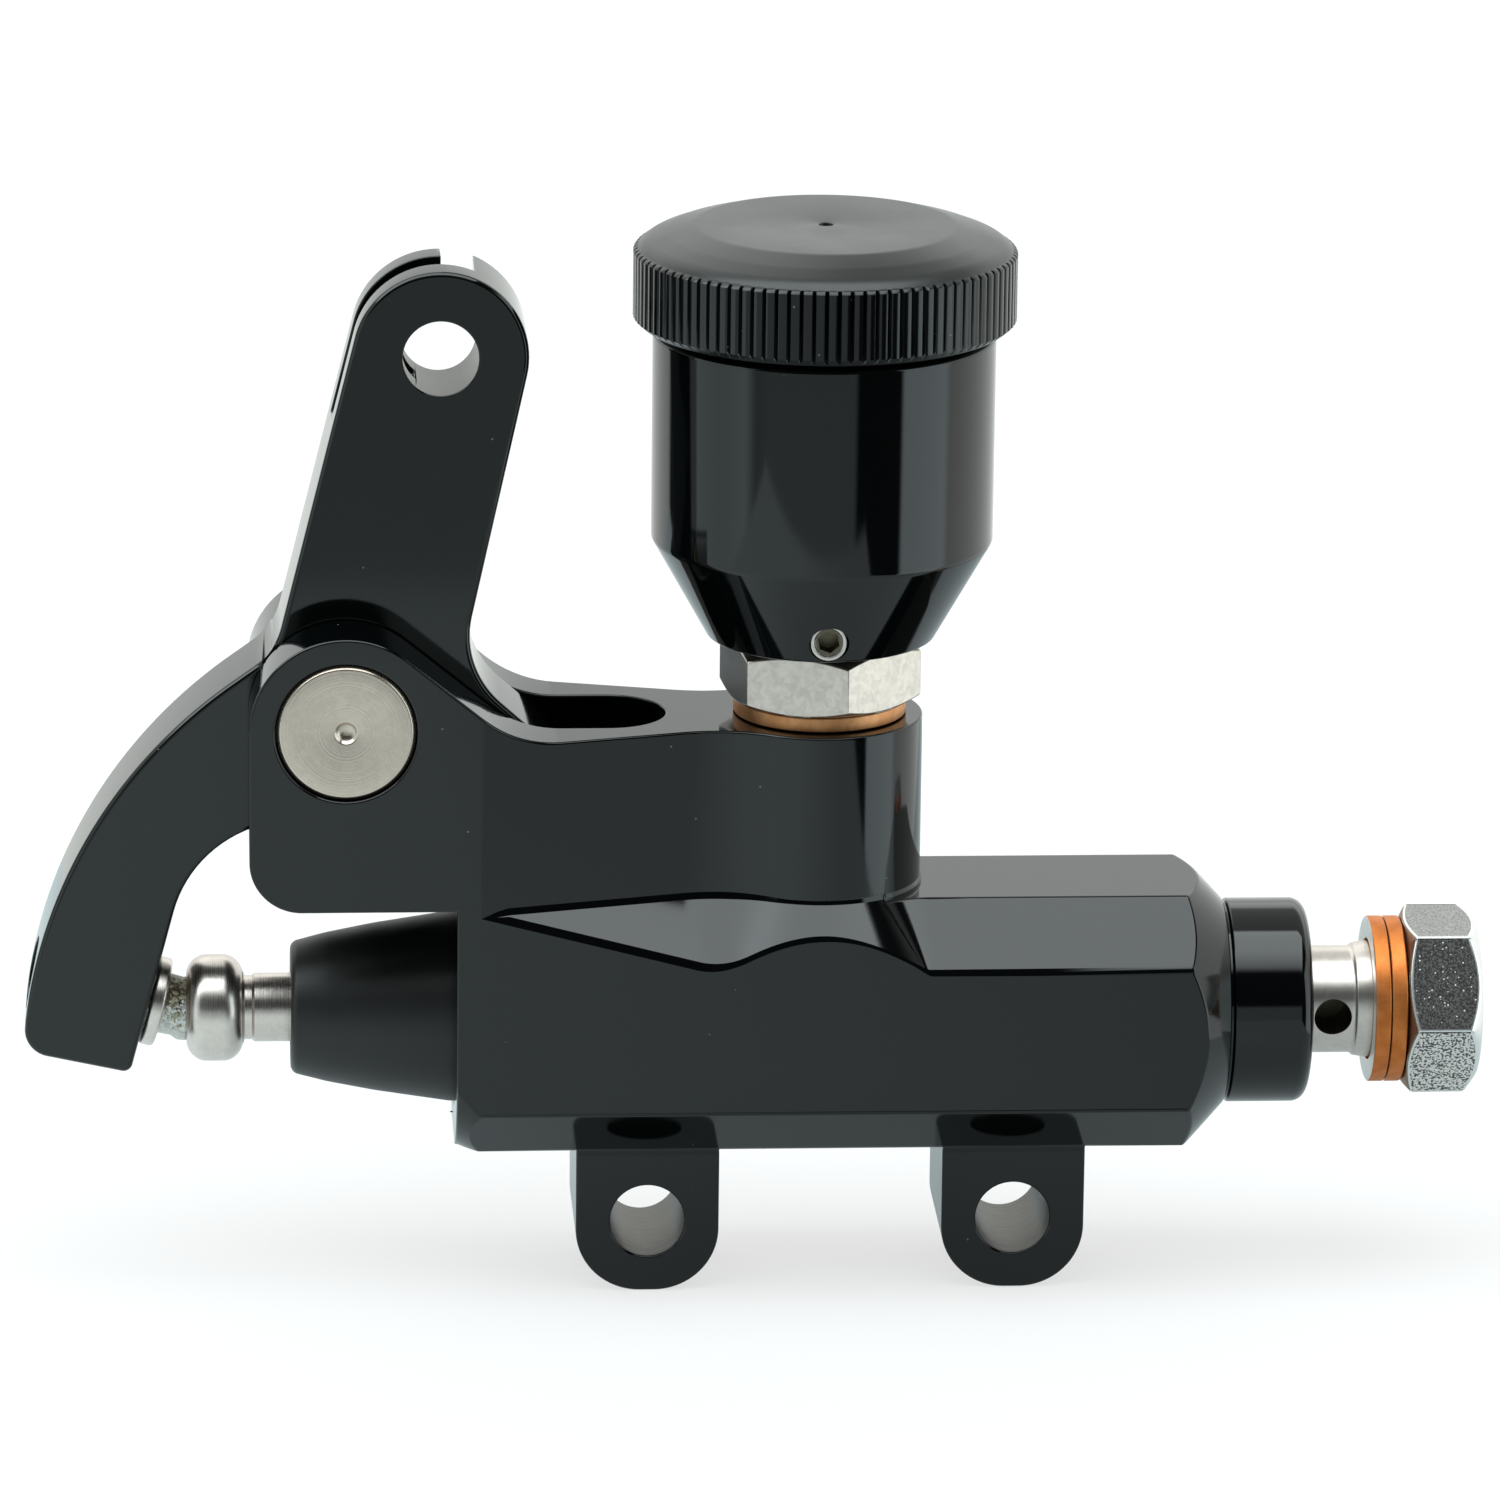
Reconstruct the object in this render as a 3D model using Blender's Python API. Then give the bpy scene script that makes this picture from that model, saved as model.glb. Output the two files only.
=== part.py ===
"""Cable-operated brake master cylinder for a motorcycle.

A machined block holds the bore, two ears hold a bell-crank lever on a pin, and a
round reservoir stands on a hexagonal union. A cable pulls the top of the lever, the
foot of the lever pushes the pushrod, and the piston drives fluid out of the outlet.

All sizes below are millimetres; they become metres when a mesh is made. X runs along
the bore towards the outlet, Z is up, and the origin is the centre of the block's flat
underside, midway between the two mounting lugs.
"""
from math import acos, asin, atan2, cos, hypot, pi, radians, sin, sqrt, tan

import bmesh
import bpy
from mathutils import Matrix, Vector

MM = 0.001
GAP = 0.3               # clearance between pieces that touch on the real object
FACE_GAP = 0.1          # clearance between flat faces clamped together
RUN_GAP = 0.05          # radial clearance of a shaft in its bush
THROUGH = 2.0           # how far a cutter runs past the material it cuts
ARC_STEP = radians(15)  # longest step along a round outline
ROUND = 32              # sides of the largest turned pieces
SMALL = 20              # sides of the small ones

# Block
BORE_Z = 11.3
BLOCK_HALF = 11.4
BLOCK_TOP = 22.8
BLOCK_CHAMFER = 4.85
BLOCK_LEFT = -32.8
CONE_X = 30.9           # where the turned right-hand cone starts, at the block's corners
CONE_END_X = 34.6
CONE_R = 12.93
CONE_SLOPE = 1.08
LEFT_CONE_R = 12.0      # the shallow cone round the lower half of the left end
LEFT_CONE_SLOPE = 0.53
LEFT_CONE_LENGTH = 6.0
BOSS_R = 8.95
BOSS_EDGE_R = 1.3
BOSS_GROOVE = 0.35
OUTLET_X = 41.85        # the outlet boss's end face
OUTLET_R = 5.1
PASSAGE_R = 2.0
MOUTH_R = 8.7           # recess for the dust boot
MOUTH_X = -30.2
BORE_R = 7.0
BORE_LEFT = -28.0
BORE_RIGHT = 30.0

# Mounting lugs
LUG_X = 16.0
LUG_HALF_WIDTH = 6.25
LUG_BOTTOM = -12.9
LUG_CORNER_R = 5.6
LUG_HOLE_Z = -6.5
LUG_HOLE_R = 3.25

# Ears, arm and reservoir boss on top of the block
PIVOT_X = -42.3
PIVOT_Z = 39.4
PIN_R = 6.0
LOCK_SCREW_R = 2.0
LOCK_SCREW_Y = 8.2
EAR_R = 8.3
EAR_LEAN = radians(39)  # slope of the arm's top behind the ears
EAR_CORNER_R = 4.5
ARM_BEND_R = 10.0
EAR_UNDERSIDE = 23.35
EAR_SLOT_HALF = 5.1
SLOT_FLOOR = 29.2
SLOT_END_X = -14.5
SLOT_FLOOR_LEFT = -35.0
TAPER_START_X = -30.75  # where the arm's wall leaves the block's side, in plan
TAPER_ANGLE = radians(14.87)
TAPER_FILLET = 10.4
CHAMFER_TOP = 23.2      # height where the sloping chamfer meets the arm's wall
STRIP_HALF = 5.8        # half width between the two chamfers at that height
STRIP_FILLET = 6.4
TANK_X = -1.1           # the reservoir's axis
TANK_BOSS_R = 8.95
TANK_BOSS_TOP = 38.0

# Lever
LEVER_HALF = 4.7
HEAD_X = -34.1
HEAD_Z = 70.6
HEAD_R = 7.55
NIPPLE_R = 3.25
CABLE_SLOT_HALF = 1.45
LEVER_LEAN = radians(12.3)
FOOT_ARC_X = -26.4
FOOT_ARC_Z = 6.4
FOOT_ARC_R = 43.9
BUSH_R = 7.5

# Adjuster and pushrod
CONTACT_X = -56.3       # centre of the ball nose, where the adjuster meets the pushrod
CONTACT_Z = 11.33
ADJUSTER_TILT = radians(14.4)
ADJUSTER_R = 3.0
NUT_R = 3.92
NUT_ENDS = (-3.15, -1.9)
NOSE_R = 2.85
ROD_R = 3.0
BEAD_X = -53.6
BEAD_R = 4.65
BEAD_HALF_WIDTH = 2.5
BEAD_ROUND = 1.95
BALL_X = -23.8          # pushrod's ball in the piston
BALL_R = 4.4

# Piston and seals
PISTON_LEFT = -26.9
PISTON_R = 6.85
CUP_FRONT = 1.9
SPRING_END = 29.5
SPRING_WIRE_R = 0.6
SPRING_COIL_R = 5.2
SPRING_TURNS = 7

# Union, reservoir and cap
UNION_ACROSS_FLATS = 15.6
UNION_BOTTOM = 39.45
UNION_TOP = 44.7
UNION_TURN = radians(12)
TANK_BOTTOM = 45.0
TANK_BOTTOM_R = 10.0
TANK_SHOULDER = 53.7
TANK_R = 14.75
TANK_WALL = 1.6
TANK_RIM = 77.2
CAP_BOTTOM = 72.6
CAP_EDGE = 79.1
CAP_TOP = 81.2
CAP_R = 16.5
CAP_FLAT_R = 10.8
CAP_TEETH = 48
SET_SCREW_Z = 46.9

# Outlet bolt
BOLT_NECK_R = 4.7
BOLT_THREAD_R = 4.8
BOLT_COLLAR_R = 5.1
BOLT_COLLAR_X = 46.1
BOLT_HOLE_X = 43.95
BOLT_HOLE_R = 1.65
WASHER_LEFT = 47.4
WASHER_R = 7.27
WASHER_THICK = 1.35
BOLT_HEAD_LEFT = 50.3
BOLT_HEAD_RIGHT = 56.85
BOLT_ACROSS_FLATS = 14.5
BOLT_TURN = radians(2.8)

ANODISED = ("black_anodised", (0.012, 0.013, 0.014), 0.22, 0.6)
STEEL = ("stainless_steel", (0.55, 0.54, 0.51), 0.35, 1.0)
ZINC = ("zinc_plated_steel", (0.60, 0.60, 0.60), 0.45, 1.0)
COPPER = ("copper", (0.72, 0.33, 0.12), 0.35, 1.0)
BRONZE = ("bronze", (0.50, 0.35, 0.16), 0.4, 1.0)
RUBBER = ("rubber", (0.012, 0.012, 0.012), 0.7, 0.0)
PLASTIC = ("white_plastic", (0.7, 0.7, 0.68), 0.5, 0.0)


def clear_scene():
    for obj in list(bpy.data.objects):
        bpy.data.objects.remove(obj, do_unlink=True)


def material(spec):
    name, colour, roughness, metallic = spec
    found = bpy.data.materials.get(name)
    if found:
        return found
    made = bpy.data.materials.new(name)
    made.use_nodes = True
    shader = made.node_tree.nodes["Principled BSDF"]
    shader.inputs["Base Color"].default_value = (*colour, 1.0)
    shader.inputs["Roughness"].default_value = roughness
    shader.inputs["Metallic"].default_value = metallic
    made.diffuse_color = (*colour, 1.0)
    return made


def add_object(name, bm, spec=None):
    """An object from a closed bmesh, with its faces turned outwards."""
    bmesh.ops.recalc_face_normals(bm, faces=bm.faces)
    mesh = bpy.data.meshes.new(name)
    bm.to_mesh(mesh)
    bm.free()
    mesh.shade_smooth()
    mesh.set_sharp_from_angle(angle=radians(35))
    obj = bpy.data.objects.new(name, mesh)
    bpy.context.scene.collection.objects.link(obj)
    if spec:
        mesh.materials.append(material(spec))
    return obj


def combine(target, tool, operation):
    """Cut, join or intersect target with a hidden tool object."""
    modifier = target.modifiers.new(f"{operation.lower()}_{tool.name}", "BOOLEAN")
    modifier.operation = operation
    modifier.solver = "EXACT"
    modifier.object = tool
    tool.hide_render = True
    tool.display_type = "WIRE"


def cut(target, *tools):
    for tool in tools:
        combine(target, tool, "DIFFERENCE")


def join(target, *tools):
    for tool in tools:
        combine(target, tool, "UNION")


def arc(centre, radius, start, end, step=ARC_STEP):
    """Points along an arc, both ends included; angles in radians."""
    count = max(2, round(abs(end - start) / step))
    angles = [start + (end - start) * i / count for i in range(count + 1)]
    return [(centre[0] + radius * cos(a), centre[1] + radius * sin(a)) for a in angles]


def rounded(corners, step=ARC_STEP):
    """A closed outline from (a, b, radius) corners, each replaced by its fillet arc."""
    points = []
    for i, (a, b, radius) in enumerate(corners):
        here = Vector((a, b))
        before = (Vector(corners[i - 1][:2]) - here).normalized()
        after = (Vector(corners[(i + 1) % len(corners)][:2]) - here).normalized()
        if radius == 0:
            points.append((a, b))
            continue
        half = acos(max(-1.0, min(1.0, before.dot(after)))) / 2
        centre = here + (before + after).normalized() * radius / sin(half)
        start = here + before * radius / tan(half) - centre
        end = here + after * radius / tan(half) - centre
        first = atan2(start.y, start.x)
        turn = (atan2(end.y, end.x) - first + pi) % (2 * pi) - pi
        points += arc(centre, radius, first, first + turn, step)
    return points


def circle(centre, radius, sides):
    return [
        (centre[0] + radius * cos(2 * pi * i / sides), centre[1] + radius * sin(2 * pi * i / sides))
        for i in range(sides)
    ]


def in_space(axis, a, b, along):
    """The point at (a, b) in the plane square to axis, at a distance along the axis."""
    return Vector({"X": (along, a, b), "Y": (a, along, b), "Z": (a, b, along)}[axis]) * MM


def prism(name, outline, axis, low, high, spec=None):
    """A flat outline extruded along an axis from low to high."""
    bm = bmesh.new()
    verts = [bm.verts.new(in_space(axis, a, b, low)) for a, b in outline]
    face = bm.faces.new(verts)
    extruded = bmesh.ops.extrude_face_region(bm, geom=[face])
    moved = [v for v in extruded["geom"] if isinstance(v, bmesh.types.BMVert)]
    bmesh.ops.translate(bm, verts=moved, vec=in_space(axis, 0, 0, high - low))
    return add_object(name, bm, spec)


def skin(bm, rings):
    """Quads between rings of vertices, with a cap on the first and the last."""
    count = len(rings[0])
    for one, two in zip(rings, rings[1:]):
        for i in range(count):
            j = (i + 1) % count
            bm.faces.new((one[i], one[j], two[j], two[i]))
    bm.faces.new(rings[0])
    bm.faces.new(reversed(rings[-1]))


def turned(name, profile, axis, centre, sides=ROUND, spec=None, sweep=2 * pi, start=0.0):
    """A lathe shape: (radius, along) points spun about the axis through centre.

    A profile that begins or ends on the axis closes there; any other is a closed ring.
    """
    direction = in_space(axis, 0, 0, 1).normalized()
    origin = in_space(axis, centre[0], centre[1], 0)
    out = in_space(axis, cos(start), sin(start), 0).normalized()
    bm = bmesh.new()
    verts = [bm.verts.new(origin + out * r * MM + direction * s * MM) for r, s in profile]
    edges = [bm.edges.new(pair) for pair in zip(verts, verts[1:])]
    on_axis = profile[0][0] == 0 and profile[-1][0] == 0
    if not on_axis:
        edges.append(bm.edges.new((verts[-1], verts[0])))
    full = sweep >= 2 * pi
    caps = []
    if not full:
        caps = [bm.faces.new(verts)]
    bmesh.ops.spin(
        bm, geom=caps or verts + edges, cent=origin, axis=direction, angle=sweep, steps=sides,
        use_merge=full, use_duplicate=False,
    )
    bmesh.ops.remove_doubles(bm, verts=bm.verts, dist=1e-7)
    return add_object(name, bm, spec)


def cylinder(name, axis, centre, radius, low, high, sides=ROUND, spec=None):
    return prism(name, circle(centre, radius, sides), axis, low, high, spec)


def box(name, low, high):
    outline = [(low[0], low[1]), (high[0], low[1]), (high[0], high[1]), (low[0], high[1])]
    return prism(name, outline, "Z", low[2], high[2])


def hexagon(centre, across_flats, turn):
    radius = across_flats / 2 / cos(pi / 6)
    return [
        (centre[0] + radius * cos(turn + i * pi / 3), centre[1] + radius * sin(turn + i * pi / 3))
        for i in range(6)
    ]


def hexagon_trim(name, axis, centre, across_flats, low, high):
    """The turned shape that bevels a hexagon's corners; low and high are (place, inset, length)."""
    half = across_flats / 2
    outside = half / cos(pi / 6) + 0.1
    past = 0.5
    profile = []
    for (place, inset, length), way in ((low, 1), (high, -1)):
        slope = (outside - half + inset) / length
        start = place - way * past
        points = [(0, start), (half - inset - past * slope, start), (outside, place + way * length)]
        profile += points if way > 0 else points[::-1]
    return turned(name, profile, axis, centre, 36)


def group(name, location, pieces):
    """An empty on a joint's axis that carries the pieces, whose origins move onto it."""
    point = Vector(location) * MM
    empty = bpy.data.objects.new(name, None)
    bpy.context.scene.collection.objects.link(empty)
    empty.location = point
    for piece in pieces:
        piece.data.transform(Matrix.Translation(-point))
        piece.parent = empty
    return empty


# ---------------------------------------------------------------- body

def line_circle_fillet(point, direction, radius, right):
    """Fillet in plan between a line and the tank boss: (x, half width, normal) from left to right."""
    direction = Vector(direction).normalized()
    normal = Vector((-direction.y, direction.x))
    boss = Vector((TANK_X, 0.0))
    offset = Vector(point) + normal * radius - boss
    along = offset.dot(direction)
    root = sqrt(along**2 - offset.length_squared + (TANK_BOSS_R + radius) ** 2)
    centre = boss + offset + direction * (-along + (root if right else -root))
    on_circle = (boss - centre).normalized()
    first = atan2(-normal.y, -normal.x)
    turn = (atan2(on_circle.y, on_circle.x) - first + pi) % (2 * pi) - pi
    points = arc(centre, radius, first, first + turn)
    stations = [(x, w, (centre - Vector((x, w))) / radius) for x, w in points]
    return list(reversed(stations)) if right else stations


def wall_line():
    """The foot of the arm's wall in plan, from left to right, as (x, half width, normal).

    A straight taper, a fillet, the tank boss, a fillet, and the edge of the block's flat top.
    """
    slope = Vector((cos(TAPER_ANGLE), -sin(TAPER_ANGLE)))
    normal = Vector((sin(TAPER_ANGLE), cos(TAPER_ANGLE)))
    start = Vector((TAPER_START_X, BLOCK_HALF))
    first = line_circle_fillet(start, slope, TAPER_FILLET, False)
    second = line_circle_fillet((0.0, STRIP_HALF), (1.0, 0.0), STRIP_FILLET, True)
    begin = atan2(first[-1][1], first[-1][0] - TANK_X)
    end = atan2(second[0][1], second[0][0] - TANK_X)
    points = arc((TANK_X, 0.0), TANK_BOSS_R, begin, end)
    boss = [(x, w, Vector((x - TANK_X, w)) / TANK_BOSS_R) for x, w in points]
    last = (CONE_END_X + THROUGH, STRIP_HALF, Vector((0.0, 1.0)))
    return [(*start, normal)] + first + boss[1:-1] + second + [last]


def side_cutter(side):
    """Everything outside the arm's wall and the 45-degree chamfer that follows its foot."""
    high = PIVOT_Z + EAR_R + THROUGH
    bm = bmesh.new()
    rings = []
    for x, w, normal in wall_line():
        reach = (BLOCK_HALF + GAP - w) / normal.y
        section = [(0, high), (0, CHAMFER_TOP), (reach, CHAMFER_TOP - reach), (reach, high)]
        rings.append([
            bm.verts.new(Vector((x + normal.x * run, side * (w + normal.y * run), z)) * MM)
            for run, z in section
        ])
    skin(bm, rings)
    return add_object(f"cut_{'rear' if side > 0 else 'front'}_side", bm)


def bottom_cutter(side):
    """The 45-degree chamfer along one bottom edge."""
    c = BLOCK_CHAMFER
    outline = [
        (side * (BLOCK_HALF - c), 0), (side * (BLOCK_HALF + THROUGH), c + THROUGH),
        (side * (BLOCK_HALF + THROUGH), -THROUGH), (side * (BLOCK_HALF - c - THROUGH), -THROUGH),
    ]
    name = f"cut_{'rear' if side > 0 else 'front'}_bottom"
    return prism(name, outline, "X", BLOCK_LEFT - THROUGH, CONE_END_X + THROUGH)


def side_outline():
    """Block, ears and arm from the side, up to the middle of the tank boss."""
    foot = (PIVOT_X + EAR_R * sin(EAR_LEAN), PIVOT_Z + EAR_R * cos(EAR_LEAN))
    bend_x = foot[0] + (foot[1] - TANK_BOSS_TOP) / tan(EAR_LEAN)
    left = PIVOT_X - EAR_R
    points = [(BLOCK_LEFT, 0), (CONE_END_X, 0), (CONE_END_X, BLOCK_TOP), (TANK_X, BLOCK_TOP)]
    bend = rounded([(TANK_X, TANK_BOSS_TOP, 0), (bend_x, TANK_BOSS_TOP, ARM_BEND_R), (*foot, 0)])
    points += bend[:-1]
    points += arc((PIVOT_X, PIVOT_Z), EAR_R, pi / 2 - EAR_LEAN, pi)
    corner = (left + EAR_CORNER_R, EAR_UNDERSIDE + EAR_CORNER_R)
    points += arc(corner, EAR_CORNER_R, pi, 3 * pi / 2, radians(22))
    points.append((BLOCK_LEFT, EAR_UNDERSIDE))
    return points


def right_cone_cutter():
    """Turns the block's right end down to a cone."""
    far = BLOCK_HALF + BLOCK_TOP
    end_r = CONE_R - (CONE_END_X - CONE_X) * CONE_SLOPE
    profile = [
        (CONE_R + THROUGH * CONE_SLOPE, CONE_X - THROUGH), (end_r, CONE_END_X),
        (end_r, CONE_END_X + THROUGH), (far, CONE_END_X + THROUGH), (far, CONE_X - THROUGH),
    ]
    return turned("cut_right_cone", profile, "X", (0, BORE_Z), ROUND)


def left_cone_cutter():
    """A shallow turned chamfer round the lower half of the block's left end."""
    far = BLOCK_HALF + BLOCK_TOP
    right = BLOCK_LEFT + LEFT_CONE_LENGTH
    profile = [
        (LEFT_CONE_R - THROUGH * LEFT_CONE_SLOPE, BLOCK_LEFT - THROUGH),
        (LEFT_CONE_R + LEFT_CONE_LENGTH * LEFT_CONE_SLOPE, right),
        (far, right), (far, BLOCK_LEFT - THROUGH),
    ]
    return turned("cut_left_cone", profile, "X", (0, BORE_Z), SMALL, sweep=pi, start=pi)


def lug(name, x):
    corners = [
        (x - LUG_HALF_WIDTH, 8.0, 0),
        (x - LUG_HALF_WIDTH, LUG_BOTTOM, LUG_CORNER_R),
        (x + LUG_HALF_WIDTH, LUG_BOTTOM, LUG_CORNER_R),
        (x + LUG_HALF_WIDTH, 8.0, 0),
    ]
    half = BLOCK_HALF - BLOCK_CHAMFER
    return prism(name, rounded(corners, radians(18)), "Y", -half, half)


def outlet_boss():
    root = BOSS_R - BOSS_GROOVE
    edge = (BOSS_R - BOSS_EDGE_R, OUTLET_X - BOSS_EDGE_R)
    profile = [
        (0, CONE_END_X - 3), (root, CONE_END_X - 3), (root, CONE_END_X + BOSS_GROOVE),
        (BOSS_R, CONE_END_X + BOSS_GROOVE), *arc(edge, BOSS_EDGE_R, 0, pi / 2, radians(30)),
        (0, OUTLET_X),
    ]
    return turned("add_outlet_boss", profile, "X", (0, BORE_Z), ROUND)


def slot_cutter():
    """The lever's slot: right through between the ears, then a pocket in the arm."""
    centre = (SLOT_END_X - EAR_SLOT_HALF, 0)
    pocket = [(PIVOT_X - EAR_R - THROUGH, EAR_SLOT_HALF), (PIVOT_X - EAR_R - THROUGH, -EAR_SLOT_HALF)]
    pocket += arc(centre, EAR_SLOT_HALF, -pi / 2, pi / 2)
    return prism("cut_lever_slot", pocket, "Z", SLOT_FLOOR, PIVOT_Z + EAR_R + THROUGH)


def slot_below_cutter():
    low = (PIVOT_X - EAR_R - THROUGH, -EAR_SLOT_HALF, EAR_UNDERSIDE - THROUGH)
    return box("cut_slot_below", low, (SLOT_FLOOR_LEFT, EAR_SLOT_HALF, SLOT_FLOOR + 1))


def bore_cutter():
    """Boot recess, circlip groove, working bore, outlet passage and threaded outlet."""
    start = BLOCK_LEFT - THROUGH
    groove_left, groove_right = MOUTH_X + 0.4, MOUTH_X + 1.6
    thread_left = BORE_RIGHT + 2.0
    lead_in = 0.6
    profile = [
        (0, start), (MOUTH_R, start), (MOUTH_R, MOUTH_X), (BORE_R - 0.1, MOUTH_X),
        (BORE_R - 0.1, groove_left), (BORE_R + 0.9, groove_left), (BORE_R + 0.9, groove_right),
        (BORE_R, groove_right), (BORE_R, BORE_RIGHT), (PASSAGE_R, BORE_RIGHT),
        (PASSAGE_R, thread_left), (OUTLET_R, thread_left), (OUTLET_R, OUTLET_X - lead_in),
        (OUTLET_R + lead_in, OUTLET_X), (OUTLET_R + lead_in, OUTLET_X + THROUGH),
        (0, OUTLET_X + THROUGH),
    ]
    return turned("cut_bore", profile, "X", (0, BORE_Z), 24)


def port_cutters():
    centre = (TANK_X, 0)
    roof = BORE_Z + BORE_R
    well = cylinder("cut_union_well", "Z", centre, 5.2, 27.0, TANK_BOSS_TOP + THROUGH, SMALL)
    feed = cylinder("cut_feed_port", "Z", (TANK_X - 1.4, 0), 1.2, roof - 1, 28.0, 12)
    bleed = cylinder("cut_bleed_port", "Z", (TANK_X + 3.3, 0), 0.5, roof - 1, 28.0, 8)
    return well, feed, bleed


def body():
    shape = prism("cylinder_body", side_outline(), "Y", -BLOCK_HALF, BLOCK_HALF, ANODISED)
    cut(shape, side_cutter(-1), side_cutter(1), bottom_cutter(-1), bottom_cutter(1))
    buried = BLOCK_TOP - 4
    tank_boss = cylinder("add_tank_boss", "Z", (TANK_X, 0), TANK_BOSS_R, buried, TANK_BOSS_TOP, ROUND)
    join(shape, tank_boss)
    cut(shape, right_cone_cutter(), left_cone_cutter())
    join(shape, lug("add_left_lug", -LUG_X), lug("add_right_lug", LUG_X), outlet_boss())
    cut(shape, slot_cutter(), slot_below_cutter(), bore_cutter(), *port_cutters())
    far = BLOCK_HALF + THROUGH
    for name, x in (("left", -LUG_X), ("right", LUG_X)):
        cut(shape, cylinder(f"cut_{name}_lug_hole", "Y", (x, LUG_HOLE_Z), LUG_HOLE_R, -far, far, SMALL))
    cut(shape, cylinder("cut_pin_hole", "Y", (PIVOT_X, PIVOT_Z), PIN_R + GAP, -far, far, 28))
    centre = (PIVOT_X, LOCK_SCREW_Y)
    cut(shape, cylinder("cut_lock_hole", "Z", centre, LOCK_SCREW_R + GAP, EAR_UNDERSIDE - 1, PIVOT_Z, 16))
    return shape


# ---------------------------------------------------------------- pivot and lever

def pivot_pin():
    half = BLOCK_HALF - 0.1
    edge = 0.3
    profile = [
        (0, -half), (PIN_R - edge, -half), (PIN_R, -half + edge),
        (PIN_R, half - edge), (PIN_R - edge, half), (0, half),
    ]
    return turned("pivot_pin", profile, "Y", (PIVOT_X, PIVOT_Z), 28, STEEL)


def pin_lock_screw():
    """A grub screw in the rear ear that keeps the pin from walking out."""
    top = PIVOT_Z - PIN_R - GAP
    centre = (PIVOT_X, LOCK_SCREW_Y)
    shape = cylinder("pin_lock_screw", "Z", centre, LOCK_SCREW_R, top - 5, top, 16, STEEL)
    socket = prism("cut_lock_socket", hexagon(centre, 2.0, 0), "Z", top - 7, top - 3)
    cut(shape, socket)
    return shape


def lever_outline():
    """Head, straight shank, heel in the slot and curved foot."""
    lean = LEVER_LEAN
    right_top = (HEAD_X + HEAD_R * cos(lean), HEAD_Z - HEAD_R * sin(lean))
    points = arc((HEAD_X, HEAD_Z), HEAD_R, -lean, pi - lean)
    shank = rounded([
        (*points[-1], 0),
        (-48.28, 44.77, 6.0),
        (-52.5, 41.65, 0),
    ])
    points += shank[1:-1]
    start = atan2(41.65 - FOOT_ARC_Z, -52.5 - FOOT_ARC_X)
    end = atan2(11.6 - FOOT_ARC_Z, -70.0 - FOOT_ARC_X)
    points += arc((FOOT_ARC_X, FOOT_ARC_Z), FOOT_ARC_R, start, end, radians(6))
    lower = rounded([
        (*points[-1], 0),
        (-70.2, 8.8, 2.4),
        (-60.95, 6.8, 0.8),
        (-54.9, 29.6, 11.0),
        (-24.2, 29.6, 1.5),
        (-24.2, 35.9, 2.0),
        (-32.36, 43.2, 8.0),
        (*right_top, 0),
    ])
    points += lower[1:-1]
    return points


def cable_slot_cutters():
    """A slot on the lever's middle plane for the cable, and a side notch to fit it."""
    region = [
        (HEAD_X + 0.2, HEAD_Z - 1.4), (-50.0, 61.4), (-50.0, HEAD_Z + 12), (HEAD_X + 0.2, HEAD_Z + 12),
    ]
    slot = prism("cut_cable_slot", region, "Y", -CABLE_SLOT_HALF, CABLE_SLOT_HALF)
    notch = box(
        "cut_cable_notch",
        (HEAD_X + 0.15, -CABLE_SLOT_HALF, HEAD_Z + 1),
        (HEAD_X + 2.95, LEVER_HALF + THROUGH, HEAD_Z + 12),
    )
    return slot, notch


def lever():
    shape = prism("lever", lever_outline(), "Y", -LEVER_HALF, LEVER_HALF, ANODISED)
    far = LEVER_HALF + THROUGH
    cut(
        shape,
        cylinder("cut_nipple_hole", "Y", (HEAD_X, HEAD_Z), NIPPLE_R, -far, far, SMALL),
        cylinder("cut_bush_hole", "Y", (PIVOT_X, PIVOT_Z), BUSH_R + GAP, -far, far, 28),
        *cable_slot_cutters(),
        adjuster_turned("cut_adjuster_hole", [(ADJUSTER_R + GAP, -16), (ADJUSTER_R + GAP, 4)]),
    )
    return shape


def lever_bush():
    profile = [
        (PIN_R + RUN_GAP, -LEVER_HALF - 0.2), (BUSH_R, -LEVER_HALF - 0.2),
        (BUSH_R, LEVER_HALF + 0.2), (PIN_R + RUN_GAP, LEVER_HALF + 0.2),
    ]
    return turned("lever_bush", profile, "Y", (PIVOT_X, PIVOT_Z), 28, BRONZE)


# ---------------------------------------------------------------- adjuster and pushrod

def onto_adjuster_axis(shape):
    """Moves a shape made along X at the origin onto the adjuster's tilted axis."""
    tilt = Matrix.Rotation(ADJUSTER_TILT, 4, "Y")
    shape.data.transform(Matrix.Translation(Vector((CONTACT_X, 0, CONTACT_Z)) * MM) @ tilt)
    return shape


def adjuster_turned(name, wall, spec=None, sides=SMALL):
    """A solid turned about the adjuster's tilted axis, from (radius, along) points.

    Distances along the axis are measured from the ball nose's centre, negative towards
    the lever's foot.
    """
    profile = [(0, wall[0][1]), *wall, (0, wall[-1][1])]
    if wall[0][0] == 0:
        profile = profile[1:]
    if wall[-1][0] == 0:
        profile = profile[:-1]
    return onto_adjuster_axis(turned(name, profile, "X", (0, 0), sides, spec))


def adjuster_screw():
    nose = [(NOSE_R * cos(a), NOSE_R * sin(a)) for a in [pi / 2 * i / 5 for i in range(6)]]
    nose[-1] = (0, NOSE_R)
    wall = [(ADJUSTER_R, -13.2), (ADJUSTER_R, -2.1), (2.66, -1.7), (2.6, -0.6), *nose]
    shape = adjuster_turned("adjuster_screw", wall, STEEL)
    socket = prism("cut_adjuster_socket", hexagon((0, 0), 3.0, 0), "X", -16, -10.5)
    onto_adjuster_axis(socket)
    cut(shape, socket)
    return shape, socket


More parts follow.
